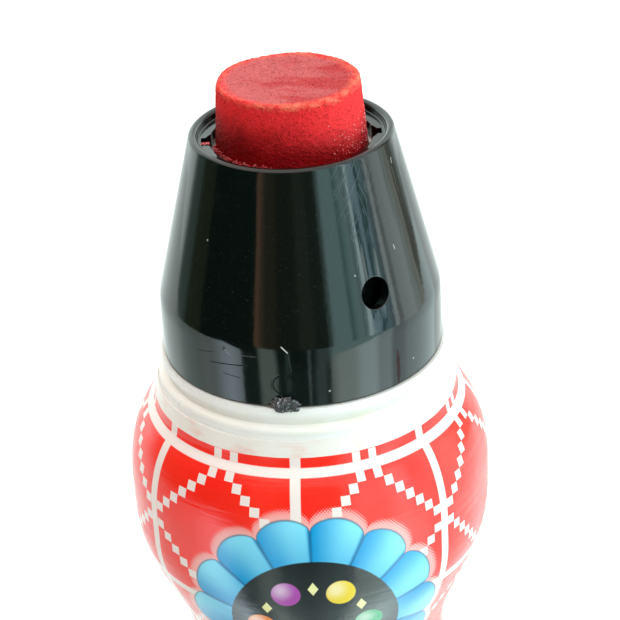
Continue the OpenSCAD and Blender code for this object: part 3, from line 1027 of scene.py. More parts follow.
@dataclass(frozen=True)
class Lathe:
    """Surface of revolution about the Z axis.

    The outline is in millimetres and runs up outside and down inside, so that faces point outwards.
    """

    outline: Sequence[Point]
    around: int = 256
    closed: bool = False

    def mesh(self, name: str, crease_deg: float = 32.0) -> bpy.types.Mesh:
        """Turns the outline.

        Args:
            name: The mesh's name.
            crease_deg: Edges sharper than this stay sharp.

        Returns:
            A mesh in metres, with one point where the outline meets the axis.
        """
        points: list[tuple[float, float, float]] = []
        rings: list[list[int]] = []
        for radius, height in self.outline:
            if radius < 1e-6:
                rings.append([len(points)] * self.around)
                points.append((0.0, 0.0, height * MM))
                continue
            rings.append(list(range(len(points), len(points) + self.around)))
            for step in range(self.around):
                angle = TAU * step / self.around
                points.append((radius * MM * math.cos(angle), radius * MM * math.sin(angle), height * MM))
        pairs = list(zip(rings, rings[1:]))
        if self.closed:
            pairs.append((rings[-1], rings[0]))
        faces = []
        for low, high in pairs:
            for a in range(self.around):
                b = (a + 1) % self.around
                loop = list(dict.fromkeys((low[a], low[b], high[b], high[a])))
                if len(loop) > 2:
                    faces.append(loop)
        mesh = bpy.data.meshes.new(name)
        mesh.from_pydata(points, [], faces)
        mesh.validate()
        shade(mesh, crease_deg)
        return mesh


def wavy(low: float, high: float, share: float) -> float:
    """Half wave from one value to another."""
    return low + (high - low) * (1 - math.cos(math.pi * share)) / 2


def arc(centre: Point, radius: float, angles: Sequence[float]) -> list[Point]:
    """Points round a centre at given angles, in radians."""
    return [(centre[0] + radius * math.cos(a), centre[1] + radius * math.sin(a)) for a in angles]


def on_wall(radius: float, turn_deg: float, height: float) -> Vector:
    """Point in metres at a radius and a height in millimetres, and a turn from the front in degrees."""
    turn = math.radians(turn_deg)
    return Vector((radius * math.sin(turn), -radius * math.cos(turn), height)) * MM


class GeometryTool:
    """Geometry tree with named inputs, run once on a piece and then taken off it."""

    def __init__(self, name: str, inputs: dict[str, float | int | bpy.types.Material]) -> None:
        """Makes the tree and its inputs.

        Args:
            name: The tree's name.
            inputs: Each input's name and value. A float is a size or a share, an int a count or a seed.
        """
        self.tree = bpy.data.node_groups.new(name, "GeometryNodeTree")
        self.values = inputs
        self.tree.interface.new_socket("Geometry", in_out="INPUT", socket_type="NodeSocketGeometry")
        self.tree.interface.new_socket("Geometry", in_out="OUTPUT", socket_type="NodeSocketGeometry")
        kinds = {float: "NodeSocketFloat", int: "NodeSocketInt", bpy.types.Material: "NodeSocketMaterial"}
        for label, value in inputs.items():
            self.tree.interface.new_socket(label, in_out="INPUT", socket_type=kinds[type(value)])
        self.graph = Graph(self.tree)
        self.start = self.graph.add("NodeGroupInput")
        self.end = self.graph.add("NodeGroupOutput")

    def given(self, label: str) -> Term:
        """One of the tree's inputs."""
        return Term(self.graph, self.start.outputs[label])

    def step(self, kind: str, inputs: dict[str, Any] | None = None, **settings: Any) -> bpy.types.Node:
        """Adds a node and feeds it.

        Args:
            kind: Blender's name for the node's type.
            inputs: Terms, sockets or values by the input's name.
            settings: Properties of the node.

        Returns:
            The new node.
        """
        node = self.graph.add(kind, **settings)
        for label, value in (inputs or {}).items():
            self.graph.feed(node.inputs[label], value)
        return node

    def place(self) -> Term:
        """The point on the piece, in millimetres."""
        return self.graph.scaled(self.step("GeometryNodeInputPosition").outputs[0], PER_MM)

    def moved(self, geometry: bpy.types.NodeSocket, offset: Term) -> bpy.types.NodeSocket:
        """Moves a geometry's points by an offset in metres."""
        return self.step("GeometryNodeSetPosition", {"Geometry": geometry, "Offset": offset}).outputs[0]

    def smoothed(self, geometry: bpy.types.NodeSocket) -> bpy.types.NodeSocket:
        """Shades a geometry smooth."""
        return self.step("GeometryNodeSetShadeSmooth", {"Geometry": geometry}).outputs[0]

    def strewn(
        self, points: bpy.types.NodeSocket, least: str, largest: str, **more: Any
    ) -> bpy.types.NodeSocket:
        """Sets a small ball on each point.

        Args:
            points: The points.
            least: The input that holds the smallest ball's radius.
            largest: The input that holds the largest ball's radius.
            more: Other inputs of the node that sets the balls.

        Returns:
            The balls.
        """
        ball = self.step("GeometryNodeMeshIcoSphere", {"Radius": 1.0, "Subdivisions": 2})
        size = self.step("FunctionNodeRandomValue", {"Seed": self.given("Seed")}, data_type="FLOAT")
        self.graph.feed(size.inputs[2], self.given(least))
        self.graph.feed(size.inputs[3], self.given(largest))
        inputs = {"Points": points, "Instance": self.smoothed(ball.outputs[0]), "Scale": size.outputs[1]}
        return self.step("GeometryNodeInstanceOnPoints", inputs | more).outputs[0]

    def finish(self, geometry: bpy.types.NodeSocket) -> None:
        """Ends the tree in Realize Instances and Set Material."""
        real = self.step("GeometryNodeRealizeInstances", {"Geometry": geometry})
        dressed = self.step(
            "GeometryNodeSetMaterial", {"Geometry": real.outputs[0], "Material": self.given("Material")}
        )
        self.graph.feed(self.end.inputs[0], dressed.outputs[0])

    def run(self, piece: bpy.types.Object) -> None:
        """Runs the tree on a piece and keeps the result as its mesh."""
        step = piece.modifiers.new(self.tree.name, "NODES")
        step.node_group = self.tree
        for item in self.tree.interface.items_tree:
            if item.in_out == "INPUT" and item.name in self.values:
                step[item.identifier] = self.values[item.name]
        settle(piece)


@dataclass
class Bottle:
    """Blown bottle: waisted body, shoulder beads, neck and pinched base."""

    bulge_r: float = 22.0
    waist_r: float = 15.9
    foot_r: float = 21.4
    heel_top_r: float = 20.6
    shoulder_r: float = 17.8
    body_h: float = 88.0
    bulge_drop: float = 17.0
    bulge_band: float = 4.0
    waist_drop: float = 21.0
    crease_r: float = 18.4
    crease_drop: float = 7.0
    crease_turn: float = 68.0
    foot_z: float = 15.0
    wall: float = 1.1
    heel_r: float = 4.0
    stand_w: float = 2.4
    push_up_h: float = 2.6
    film_drop: float = 3.8
    upper_bead_r: float = 17.25
    groove_r: float = 16.85
    lower_bead_r: float = 17.7
    bead_h: float = 1.6
    neck_r: float = 11.4
    bore_r: float = 10.05
    spigot_r: float = 15.25
    neck_h: float = 14.95
    finish: Finish = field(default_factory=BottleWhite)

    def __post_init__(self) -> None:
        """Works out the heights and the shoulder's rounding from the sizes."""
        self.film_top_z = self.body_h - self.film_drop
        self.crease_z = self.body_h - self.crease_drop
        self.shoulder_z = self.body_h - self.bulge_drop
        self.bulge_z = self.shoulder_z - self.bulge_band
        self.waist_z = self.bulge_z - self.waist_drop
        turn = math.radians(self.crease_turn)
        self.round_w = (self.bulge_r - self.crease_r) / (1 - math.cos(turn))
        self.round_h = (self.crease_z - self.shoulder_z) / math.sin(turn)

    def radius(self, z: float) -> float:
        """Outer radius of the body at a height."""
        if z < self.foot_z:
            rise = (z - self.heel_r) / (self.foot_z - self.heel_r)
            return self.heel_top_r + (self.foot_r - self.heel_top_r) * math.sin(math.pi / 2 * rise)
        if z < self.waist_z:
            return wavy(self.foot_r, self.waist_r, (z - self.foot_z) / (self.waist_z - self.foot_z))
        if z < self.bulge_z:
            return wavy(self.waist_r, self.bulge_r, (z - self.waist_z) / (self.bulge_z - self.waist_z))
        if z < self.shoulder_z:
            return self.bulge_r
        share = min(1.0, (z - self.shoulder_z) / self.round_h)
        rounding = self.bulge_r - self.round_w * (1 - math.sqrt(1 - share * share))
        return max(rounding, self.wall_r(z))

    def wall_r(self, z: float) -> float:
        """Radius at a height of the short wall between the crease and the film's upper edge."""
        share = (z - self.crease_z) / (self.film_top_z - self.crease_z)
        return self.crease_r + (self.shoulder_r - self.crease_r) * share

    def body_line(self, low: float, high: float, count: int, out: float = 0.0) -> list[Point]:
        """Points of the body's outline between two heights, moved outwards."""
        heights = high - (high - low) * np.linspace(1, 0, count) ** 1.5
        return [(self.radius(z) + out, float(z)) for z in heights]

    def bead(self, low: float, foot_r: float, crest_r: float, top_r: float, count: int = 12) -> list[Point]:
        """Points of a bead: a half wave that stands out of the wall."""
        points = []
        for step in range(1, count + 1):
            share = step / count
            base = foot_r + (top_r - foot_r) * share
            points.append((base + (crest_r - base) * math.sin(math.pi * share), low + self.bead_h * share))
        return points

    def outside(self) -> list[Point]:
        """Outline from the centre of the base up to the neck's lip."""
        stand_out = self.heel_top_r - self.heel_r
        stand_in = stand_out - self.stand_w
        dome = [(stand_in * t, wavy(self.push_up_h, 0.0, t)) for t in np.linspace(0, 1, 20)]
        heel = arc((stand_out, self.heel_r), self.heel_r, np.linspace(-math.pi / 2, 0, 12))
        body = self.body_line(self.heel_r + 0.3, self.film_top_z, 110)
        bead_top = self.upper_bead_r - 0.1
        lower = self.bead(self.film_top_z, self.shoulder_r, self.lower_bead_r, self.groove_r)
        upper = self.bead(self.body_h - self.bead_h, self.groove_r, self.upper_bead_r, bead_top)
        neck_z = self.body_h + self.neck_h
        neck = rounded(
            [
                (bead_top, self.body_h - 0.02, 0.0),
                (self.spigot_r, self.body_h - 0.02, 0.15),
                (self.spigot_r, self.body_h + 2.5, 0.6),
                (self.neck_r, self.body_h + 7.0, 0.8),
                (self.neck_r, neck_z - 3.4, 0.0),
                (self.neck_r + 0.68, neck_z - 3.38, 0.12),
                (self.neck_r, neck_z - 1.6, 0.0),
                (self.neck_r, neck_z, 0.4),
                (self.bore_r, neck_z, 0.0),
            ]
        )
        return dome + heel + body + lower + upper + neck

    def inside(self) -> list[Point]:
        """Outline from the neck's bore down to the centre of the floor."""
        stand_out = self.heel_top_r - self.heel_r
        stand_in = stand_out - self.stand_w
        spigot = self.spigot_r - self.wall
        neck = rounded(
            [
                (self.bore_r, self.body_h + self.neck_h - 0.05, 0.0),
                (self.bore_r, self.body_h + 5.9, 0.8),
                (spigot, self.body_h + 1.4, 0.6),
                (spigot, self.body_h - 1.1, 0.4),
                (self.shoulder_r - self.wall, self.film_top_z, 0.0),
            ]
        )
        body = self.body_line(self.heel_r + 0.3, self.film_top_z, 110, -self.wall)[::-1]
        bend = self.heel_r - self.wall
        heel = arc((stand_out, self.heel_r), bend, np.linspace(0, -math.pi / 2, 10))
        dome = [(stand_in * t, self.wall + wavy(self.push_up_h, 0.0, t)) for t in np.linspace(1, 0, 16)]
        return neck[:-1] + body + heel + dome

    def build(self) -> None:
        """Builds the bottle and the ridge under its base."""
        mesh = Lathe(self.outside() + self.inside(), 224).mesh("bottle_blown", 40.0)
        piece = new_piece("bottle_blown", mesh, self.finish)
        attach(piece, Body.FIXED.value)
        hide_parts("bottle")
        LOG.info("bottle_blown: %d faces", len(piece.data.polygons))
        self.build_ridge()

    def build_ridge(self, length: float = 16.0, width: float = 0.9, height: float = 0.3) -> None:
        """Builds the ridge that the mould's halves pinch off under the base.

        Args:
            length: The ridge's length in millimetres.
            width: Its width.
            height: How far it stands out of the base.
        """
        stand_in = self.heel_top_r - self.heel_r - self.stand_w
        body = bmesh.new()
        rows = []
        count = 40
        for step in range(count + 1):
            x = (step / count - 0.5) * length
            dome = wavy(self.push_up_h, 0.0, abs(x) / stand_in)
            tip = math.sqrt(max(0.0, 1 - (2 * step / count - 1) ** 6))
            drop = height * tip * (1 + 0.18 * noise.noise(Vector((x * 1.3, 0, 4.0))))
            half = width / 2 * (0.5 + 0.5 * tip)
            row = []
            flank = [(half, dome + 0.2), (half * 0.55, dome - drop)]
            for y, z in [(-y, z) for y, z in flank] + flank[::-1]:
                row.append(body.verts.new((x * MM, y * MM, z * MM)))
            rows.append(row)
        bridge(body, rows, closed=True)
        body.faces.new(rows[0][::-1])
        body.faces.new(rows[-1])
        bmesh.ops.recalc_face_normals(body, faces=body.faces)
        mesh = plain_mesh("pinch_ridge", body)
        shade(mesh, 50.0)
        piece = new_piece("pinch_ridge", mesh, self.finish)
        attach(piece, Body.FIXED.value)
        LOG.info("pinch_ridge: %d faces", len(mesh.polygons))


@dataclass
class Film:
    """Shrink film round the bottle, shaped by a geometry tree that follows the bottle's rule."""

    bottle: Bottle
    LENGTH: ClassVar[str] = "film_length"

    lift: float = 4.5
    gap: float = 0.05
    thickness: float = 0.15
    ripple: float = 0.035
    crease_round: float = 0.35
    around: int = 256
    along: int = 170
    seed: int = 11
    finish: Finish = field(default_factory=PrintedFilm)

    def tool(self) -> GeometryTool:
        """Draws the tree that bends a grid into the film.

        Returns:
            The tree, with the film's radii and heights as its inputs.
        """
        bottle = self.bottle
        tool = GeometryTool(
            "film_form",
            {
                "Around": self.around,
                "Along": self.along,
                "Seed": self.seed,
                "Lower Edge": self.lift,
                "Upper Edge": bottle.film_top_z,
                "Foot Height": bottle.foot_z,
                "Waist Height": bottle.waist_z,
                "Bulge Height": bottle.bulge_z,
                "Shoulder Height": bottle.shoulder_z,
                "Crease Height": bottle.crease_z,
                "Crease Radius": bottle.crease_r,
                "Crease Rounding": self.crease_round,
                "Shoulder Rounding Width": bottle.round_w,
                "Shoulder Rounding Height": bottle.round_h,
                "Heel Radius": bottle.heel_top_r,
                "Foot Radius": bottle.foot_r,
                "Waist Radius": bottle.waist_r,
                "Bulge Radius": bottle.bulge_r,
                "Top Radius": bottle.shoulder_r,
                "Heel Height": bottle.heel_r,
                "Stand Off": self.gap + self.thickness,
                "Ripple": self.ripple,
                "Material": self.finish.material(),
            },
        )
        graph, given = tool.graph, tool.given
        grid = tool.step(
            "GeometryNodeMeshGrid",
            {"Size X": 1.0, "Size Y": 1.0, "Vertices X": given("Around"), "Vertices Y": given("Along")},
        )
        here = tool.step("GeometryNodeInputPosition")
        side, up, _ = graph.split(Term(graph, here.outputs[0]))
        angle = side * TAU
        drop = graph.math("POWER", graph.math("MAXIMUM", 0.5 - up, 0.0), 1.5)
        z = given("Upper Edge") - (given("Upper Edge") - given("Lower Edge")) * drop

        def part(low: str, high: str) -> Term:
            """How far z has come from one height to another."""
            return (z - given(low)) / (given(high) - given(low))

        def between(first: str, second: str, share: Term) -> Term:
            """Radius that lies a share of the way from one radius to another."""
            return given(first) + (given(second) - given(first)) * share

        def wave(share: Term) -> Term:
            """Half wave from 0 to 1."""
            return (1.0 - graph.math("COSINE", share * math.pi)) * 0.5

        rise = graph.math("SINE", part("Heel Height", "Foot Height") * (math.pi / 2))
        heel = between("Heel Radius", "Foot Radius", rise)
        lower = between("Foot Radius", "Waist Radius", wave(part("Foot Height", "Waist Height")))
        upper = between("Waist Radius", "Bulge Radius", wave(part("Waist Height", "Bulge Height")))
        climb = graph.math(
            "DIVIDE", z - given("Shoulder Height"), given("Shoulder Rounding Height"), clamp=True
        )
        rounding = given("Bulge Radius") - given("Shoulder Rounding Width") * (
            1.0 - graph.math("SQRT", 1.0 - climb * climb)
        )
        above = (z - given("Crease Height")) / (given("Upper Edge") - given("Crease Height"))
        wall = given("Crease Radius") + (given("Top Radius") - given("Crease Radius")) * above
        shoulder = graph.math("SMOOTH_MAX", rounding, wall, given("Crease Rounding"))
        radius = self.either(graph, z, given("Foot Height"), heel, lower)
        radius = self.either(graph, z, given("Waist Height"), radius, upper)
        radius = self.either(graph, z, given("Bulge Height"), radius, shoulder)

        round_x = graph.math("COSINE", angle) * radius
        round_y = graph.math("SINE", angle) * radius
        lumps = graph.noise(graph.join(round_x * 0.10, round_y * 0.10, z * 0.55 + given("Seed")), 1.0, 2.0)
        ripple = (lumps - 1.0) * given("Ripple")
        final = radius + given("Stand Off") + ripple
        shaped = graph.join(graph.math("COSINE", angle) * final, graph.math("SINE", angle) * final, z)
        moved = tool.step(
            "GeometryNodeSetPosition", {"Geometry": grid.outputs[0], "Position": graph.scaled(shaped, MM)}
        )
        closed = tool.step("GeometryNodeMergeByDistance", {"Geometry": moved.outputs[0], "Distance": 1e-6})
        tool.finish(tool.smoothed(closed.outputs[0]))
        return tool

    def either(self, graph: Graph, z: Term, edge: Term, below: Term, above: Term) -> Term:
        """One value below a height and another above it."""
        over = graph.math("GREATER_THAN", z, edge)
        return below + (above - below) * over

    def measure(self, mesh: bpy.types.Mesh) -> None:
        """Stores on each point its length along the film from the upper edge, which the print follows."""
        heights = np.linspace(self.bottle.film_top_z, self.lift - 1.0, 4000)
        radii = np.array([self.bottle.radius(z) for z in heights])
        steps = np.hypot(np.diff(heights), np.diff(radii))
        lengths = np.concatenate([[0.0], np.cumsum(steps)])
        points = np.empty(len(mesh.vertices) * 3)
        mesh.vertices.foreach_get("co", points)
        found = np.interp(-points[2::3] * PER_MM, -heights, lengths) * MM
        mesh.attributes.new(self.LENGTH, "FLOAT", "POINT").data.foreach_set("value", found)

    def build(self) -> None:
        """Builds the film and gives it its thickness."""
        piece = new_piece("film_sleeve", bpy.data.meshes.new("film_sleeve"))
        self.tool().run(piece)
        thicken(piece, self.thickness)
        shade(piece.data, 50.0)
        self.measure(piece.data)
        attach(piece, Body.FIXED.value)
        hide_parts("shrink_sleeve")
        LOG.info("film_sleeve: %d faces", len(piece.data.polygons))


@dataclass
class Collar:
    """Black cone with its skirt, rim, notched deck and vent hole, and the nub torn at its gate."""

    skirt_r: float = 16.85
    skirt_top_r: float = 16.75
    skirt_h: float = 7.35
    corner_r: float = 8.0
    wall: float = 1.5
    lip_w: float = 1.1
    deck_drop: float = 1.0
    deck_t: float = 1.6
    hole_r: float = 9.4
    lip_in_r: float = 10.8
    web_r: float = 10.5
    ring_bore_r: float = 12.2
    ring_wall: float = 1.0
    web_z: float = 104.82
    web_t: float = 1.2
    ring_l: float = 8.0
    notches: int = 4
    notch_reach: float = 10.4
    notch_mouth: float = 3.3
    notch_end: float = 1.5
    notch_bevel: float = 0.5
    vent_d: float = 3.64
    vent_h: float = 12.1
    vent_turn: float = 32.8
    vent_rounding: float = 0.2
    around: int = 360
    finish: CollarBlack = field(default_factory=CollarBlack)

    def __post_init__(self) -> None:
        """Takes the collar's heights from the frame and works out the cone's lean in radians."""
        low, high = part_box("collar")
        self.low_z = low.z * PER_MM
        self.rim_z = high.z * PER_MM
        self.cone_z = self.low_z + self.skirt_h
        self.cone_top_z = self.rim_z - self.lip_w / 2
        self.rim_r = self.lip_in_r + self.lip_w
        self.deck_z = self.rim_z - self.deck_drop
        self.lean = math.atan((self.skirt_top_r - self.rim_r) / (self.cone_top_z - self.cone_z))

    def cone_r(self, z: float) -> float:
        """Outer radius of the cone at a height."""
        return self.skirt_top_r - (z - self.cone_z) * math.tan(self.lean)

    def outline(self) -> list[Point]:
        """Outline of the shell: up outside, over the lip, along the deck and down inside."""
        inner = self.wall / math.cos(self.lean)
        under = self.deck_z - self.deck_t
        top = self.cone_top_z
        mid = self.rim_r - self.lip_w / 2
        lip = arc((mid, top), self.lip_w / 2, np.linspace(self.lean, math.pi, 14))
        lower = rounded(
            [
                (self.skirt_r - self.wall, self.low_z, 0.0),
                (self.skirt_r, self.low_z, 0.18),
                (self.skirt_top_r, self.cone_z, self.corner_r),
                (self.cone_r(top), top, 0.0),
            ]
        )
        deck = rounded(
            [
                (self.lip_in_r, top, 0.0),
                (self.lip_in_r, self.deck_z, 0.35),
                (self.hole_r, self.deck_z, 0.14),
                (self.hole_r, under, 0.1),
                (self.cone_r(under) - inner, under, 0.2),
                (self.cone_r(self.web_z + self.web_t) - inner, self.web_z + self.web_t, 0.2),
                (self.web_r, self.web_z + self.web_t, 0.15),
                (self.web_r, self.web_z, 0.1),
                (self.ring_bore_r, self.web_z, 0.1),
                (self.ring_bore_r, self.web_z - self.ring_l, 0.1),
                (self.ring_bore_r + self.ring_wall, self.web_z - self.ring_l, 0.1),
                (self.ring_bore_r + self.ring_wall, self.web_z - 1.6, 0.2),
                (self.skirt_r - self.wall, self.cone_z - 0.2, 0.4),
                (self.skirt_r - self.wall, self.low_z, 0.0),
            ]
        )
        return lower[:-1] + lip + deck[1:-1]

    def vent_cutter(self) -> bpy.types.Object:
        """Drill for the vent hole, with a small flare that rounds its mouth."""
        z = self.low_z + self.vent_h
        hole, bend = self.vent_d / 2, self.vent_rounding
        flare = [(hole, -self.wall - 0.35), (hole, -bend)]
        flare += [
            (hole + bend * (1 - math.cos(a)), bend * (math.sin(a) - 1)) for a in np.linspace(0.15, 1.45, 7)
        ]
        outline = [(0.0, -self.wall - 0.35)] + flare + [(hole + bend * 1.5, 1.2), (0.0, 1.2)]
        cutter = new_piece("vent_cutter", Lathe(outline, 96).mesh("vent_cutter"))
        turn = math.radians(self.vent_turn)
        place = Matrix.Translation(on_wall(self.cone_r(z), self.vent_turn, z))
        lean = Matrix.Rotation(turn - math.pi / 2, 4, "Z") @ Matrix.Rotation(math.pi / 2 - self.lean, 4, "Y")
        cutter.data.transform(place @ lean)
        return cutter

    def notch_cutter(self, turn: float) -> bpy.types.Object:
        """Cutter for one notch of the deck."""
        reach = self.hole_r - 0.8
        half, end = self.notch_mouth / 2, self.notch_end / 2
        bend = self.hole_r + self.notch_bevel
        side = [(reach, -half), (self.hole_r, -half), (bend, -end), (self.notch_reach, -end)]
        shape = side + [(x, -y) for x, y in reversed(side)]
        body = bmesh.new()
        low = [body.verts.new((x * MM, y * MM, (self.deck_z - 2.0) * MM)) for x, y in shape]
        high = [body.verts.new((x * MM, y * MM, (self.deck_z + 0.6) * MM)) for x, y in shape]
        body.faces.new(low[::-1])
        body.faces.new(high)
        bridge(body, [low, high], closed=True)
        mesh = plain_mesh("notch_cutter", body)
        mesh.transform(Matrix.Rotation(turn, 4, "Z"))
        return new_piece("notch_cutter", mesh)

    def build(self) -> None:
        """Builds the collar, cuts its holes and adds the nub."""
        mesh = Lathe(self.outline(), self.around, closed=True).mesh("collar_shell")
        piece = new_piece("collar_shell", mesh, self.finish)
        cut_away(piece, self.vent_cutter())
        for index in range(self.notches):
            cut_away(piece, self.notch_cutter(TAU * index / self.notches))
        shade(piece.data, 30.0)
        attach(piece, Body.FIXED.value)
        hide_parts("collar")
        LOG.info("collar_shell: %d faces", len(piece.data.polygons))
        self.build_nub()

    def build_nub(self, width: float = 3.3, height: float = 1.9, depth: float = 0.75) -> None:
        """Builds the ragged nub that the mould's gate left at the skirt's edge.

        Args:
            width: The nub's width in millimetres.
            height: Its height.
            depth: How far it stands out of the skirt.
        """
        body = bmesh.new()
        bmesh.ops.create_icosphere(body, subdivisions=5, radius=1.0)
        for vert in body.verts:
            spot = vert.co.copy()
            tear = noise.fractal(spot * 1.9 + Vector((3.0, 1.0, 7.0)), 0.8, 2.1, 5)
            shred = noise.noise(spot * 5.0)
            vert.co = spot * (1.0 + 0.34 * tear + 0.10 * shred)
        grow = Matrix.Diagonal((width / 2 * MM, depth * MM, height / 2 * MM, 1.0))
        turn = Matrix.Rotation(math.radians(self.finish.gate_turn), 4, "Z")
        spot = on_wall(self.skirt_r, self.finish.gate_turn, self.low_z + 0.35)
        bmesh.ops.transform(body, matrix=Matrix.Translation(spot) @ turn @ grow, verts=body.verts)
        mesh = plain_mesh("gate_nub", body)
        shade(mesh, 60.0)
        piece = new_piece("gate_nub", mesh, TornPlastic())
        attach(piece, Body.FIXED.value)
        LOG.info("gate_nub: %d faces", len(mesh.polygons))


@dataclass
class FoamTip:
    """Inked foam plug with its pores, its worn top, beads of ink and crusts of dried ink."""

    foot_r: float = 8.9
    top_r: float = 8.25
    edge_r: float = 0.4
    dish: float = 0.45
    deck_z: float = 114.3
    around: int = 420
    side_rows: int = 84
    top_rows: int = 54
    proud: float = 0.04
    crust_start: float = -80.0
    crust_step: float = 3.0
    crust_spots: int = 22
    skin_turn: float = -84.5
    skin_t: float = 0.06
    seed: int = 5
    finish: Finish = field(default_factory=InkedFoam)
    # Painted highlight: the beads' pale patches stand for glints of light.
    ink: Finish = field(default_factory=lambda: WetInk(colour=(0.70, 0.05, 0.06), dried_and_glint=(0.90, 0.40, 0.40)))

    def __post_init__(self) -> None:
        """Takes the foam's height from the frame."""
        low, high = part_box("foam_tip")
        self.low_z = low.z * PER_MM
        self.top_z = high.z * PER_MM

    def outline(self) -> list[Point]:
        """Outline from the centre of the foot round to the centre of the dished top."""
        crest = self.top_z - 0.05
        shoulder = crest - self.edge_r
        side = [
            (self.foot_r + (self.top_r - self.foot_r) * t, self.low_z + (shoulder - self.low_z) * t)
            for t in np.linspace(0, 1, self.side_rows)
        ]
        flat = self.top_r - self.edge_r
        bend = arc((flat, shoulder), self.edge_r, np.linspace(0, math.pi / 2, 9)[1:])
        top = [
            (flat * (1 - t), crest - self.dish * math.sin(math.pi / 2 * min(1.0, t * 1.6)))
            for t in np.linspace(0, 1, self.top_rows)[1:]
        ]
        return [(0.0, self.low_z), (self.foot_r * 0.6, self.low_z)] + side + bend + top

    def pore_tool(self) -> GeometryTool:
        """Draws the tree that pits and frays the foam's skin.

        Returns:
            The tree, with the depths and sizes of the pores as its inputs.
        """
        tool = GeometryTool(
            "foam_pores",
            {
                "Pore Depth": 0.13,
                "Grain Depth": 0.16,
                "Wear Depth": 0.5,
                "Top": self.top_z,
                "Foot": self.low_z,
                "Seed": self.seed,
                "Material": self.finish.material(),
            },
        )
        graph, given = tool.graph, tool.given
        x, y, z = graph.split(tool.place())
        moved_on = graph.join(x, y, z + given("Seed"))
        grain = graph.noise(moved_on, 1.9, 3.0, 0.62) - 0.56
        pits = graph.smooth(graph.cells(moved_on, 2.3), 0.36, 0.08)
        worn = graph.noise(moved_on, 0.22, 2.0) - 0.55
        fray = graph.smooth(z, given("Top") - 1.4, given("Top") - 0.3)
        free = graph.smooth(z, given("Foot") + 0.9, given("Foot") + 1.6)
        raised = grain * given("Grain Depth") * (1.0 + fray * 0.9)
        sunk = pits * given("Pore Depth") * (0.5 + fray * 0.7)
        rubbed = worn * given("Wear Depth") * (0.25 + fray * 0.6)
        depth = graph.math("MINIMUM", (raised - sunk + rubbed) * free, self.proud)
        normal = tool.step("GeometryNodeInputNormal").outputs[0]
        tool.finish(tool.smoothed(tool.moved(tool.start.outputs[0], graph.scaled(normal, depth * MM))))
        return tool

    def build(self) -> None:
        """Builds the foam, its beads of ink and the crusts round it."""
        piece = new_piece("foam_plug", Lathe(self.outline(), self.around).mesh("foam_plug"), self.finish)
        self.pore_tool().run(piece)
        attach(piece, Body.TIP.value)
        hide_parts("foam_tip")
        LOG.info("foam_plug: %d faces", len(piece.data.polygons))
        self.build_beads(piece)
        self.build_crust()
        self.build_ink_skin()

    def build_beads(self, foam: bpy.types.Object) -> None:
        """Scatters small beads of wet ink on the foam's lower right side.

        Args:
            foam: The finished foam, whose skin the beads sit on.
        """
        tool = GeometryTool(
            "ink_beads",
            {
                "Beads Per Area": 7.5e6,
                "Largest Bead": 0.07 * MM,
                "Smallest Bead": 0.025 * MM,
                "Seed": self.seed,
                "Material": self.ink.material(),
            },
        )
        graph, given = tool.graph, tool.given
        x, y, z = graph.split(tool.place())
        low = graph.fade(z, self.deck_z + 1.2, self.deck_z + 4.6)
        right = graph.smooth(x - abs(y) * 0.35, -1.0, 5.0)
        above = graph.smooth(z, self.deck_z - 0.6, self.deck_z)
        density = low * right * above * given("Beads Per Area")
        points = tool.step(
            "GeometryNodeDistributePointsOnFaces",
            {"Mesh": tool.start.outputs[0], "Density": density, "Seed": given("Seed")},
        )
        tool.finish(tool.strewn(points.outputs[0], "Smallest Bead", "Largest Bead"))
        beads = new_piece("ink_beads", foam.data.copy())
        tool.run(beads)
        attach(beads, Body.TIP.value)
        LOG.info("ink_beads: %d faces", len(beads.data.polygons))

    def build_crust(self) -> None:
        """Strews lumps of hardened ink along the foot of the foam, in the gap to the collar."""
        tool = GeometryTool(
            "ink_crust",
            {
                "Lumps": 170,
                "Spread": 0.2,
                "Largest Lump": 0.17 * MM,
                "Smallest Lump": 0.06 * MM,
                "Seed": self.seed + 2,
                "Material": WetInk(name="dried_ink", dried_and_glint=(0.30, 0.04, 0.04), roughness=0.2).material(),
            },
        )
        graph, given = tool.graph, tool.given
        line = tool.step("GeometryNodeMeshToCurve", {"Mesh": tool.start.outputs[0]})
        even = tool.step("GeometryNodeResampleCurve", {"Curve": line.outputs[0], "Count": given("Lumps")})
        shake = tool.step("FunctionNodeRandomValue", {"Seed": given("Seed")}, data_type="FLOAT_VECTOR")
        graph.feed(shake.inputs[0], (-1.0, -1.0, -1.0))
        graph.feed(shake.inputs[1], (1.0, 1.0, 1.0))
        loose = tool.moved(even.outputs[0], graph.scaled(shake.outputs[0], given("Spread") * MM))
        spin = tool.step("FunctionNodeRandomValue", {"Seed": given("Seed")}, data_type="FLOAT_VECTOR")
        graph.feed(spin.inputs[1], (TAU, TAU, TAU))
        tool.finish(tool.strewn(loose, "Smallest Lump", "Largest Lump", Rotation=spin.outputs[0]))
        mesh = bpy.data.meshes.new("ink_crust")
        spots = [
            on_wall(
                self.foot_r + 0.08 * (1 + math.sin(step * 0.9)),
                self.crust_start + step * self.crust_step,
                self.deck_z - 0.15,
            )
            for step in range(self.crust_spots)
        ]
        mesh.from_pydata(spots, [(i, i + 1) for i in range(len(spots) - 1)], [])
        crust = new_piece("ink_crust", mesh)
        tool.run(crust)
        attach(crust, Body.TIP.value)
        LOG.info("ink_crust: %d faces", len(crust.data.polygons))

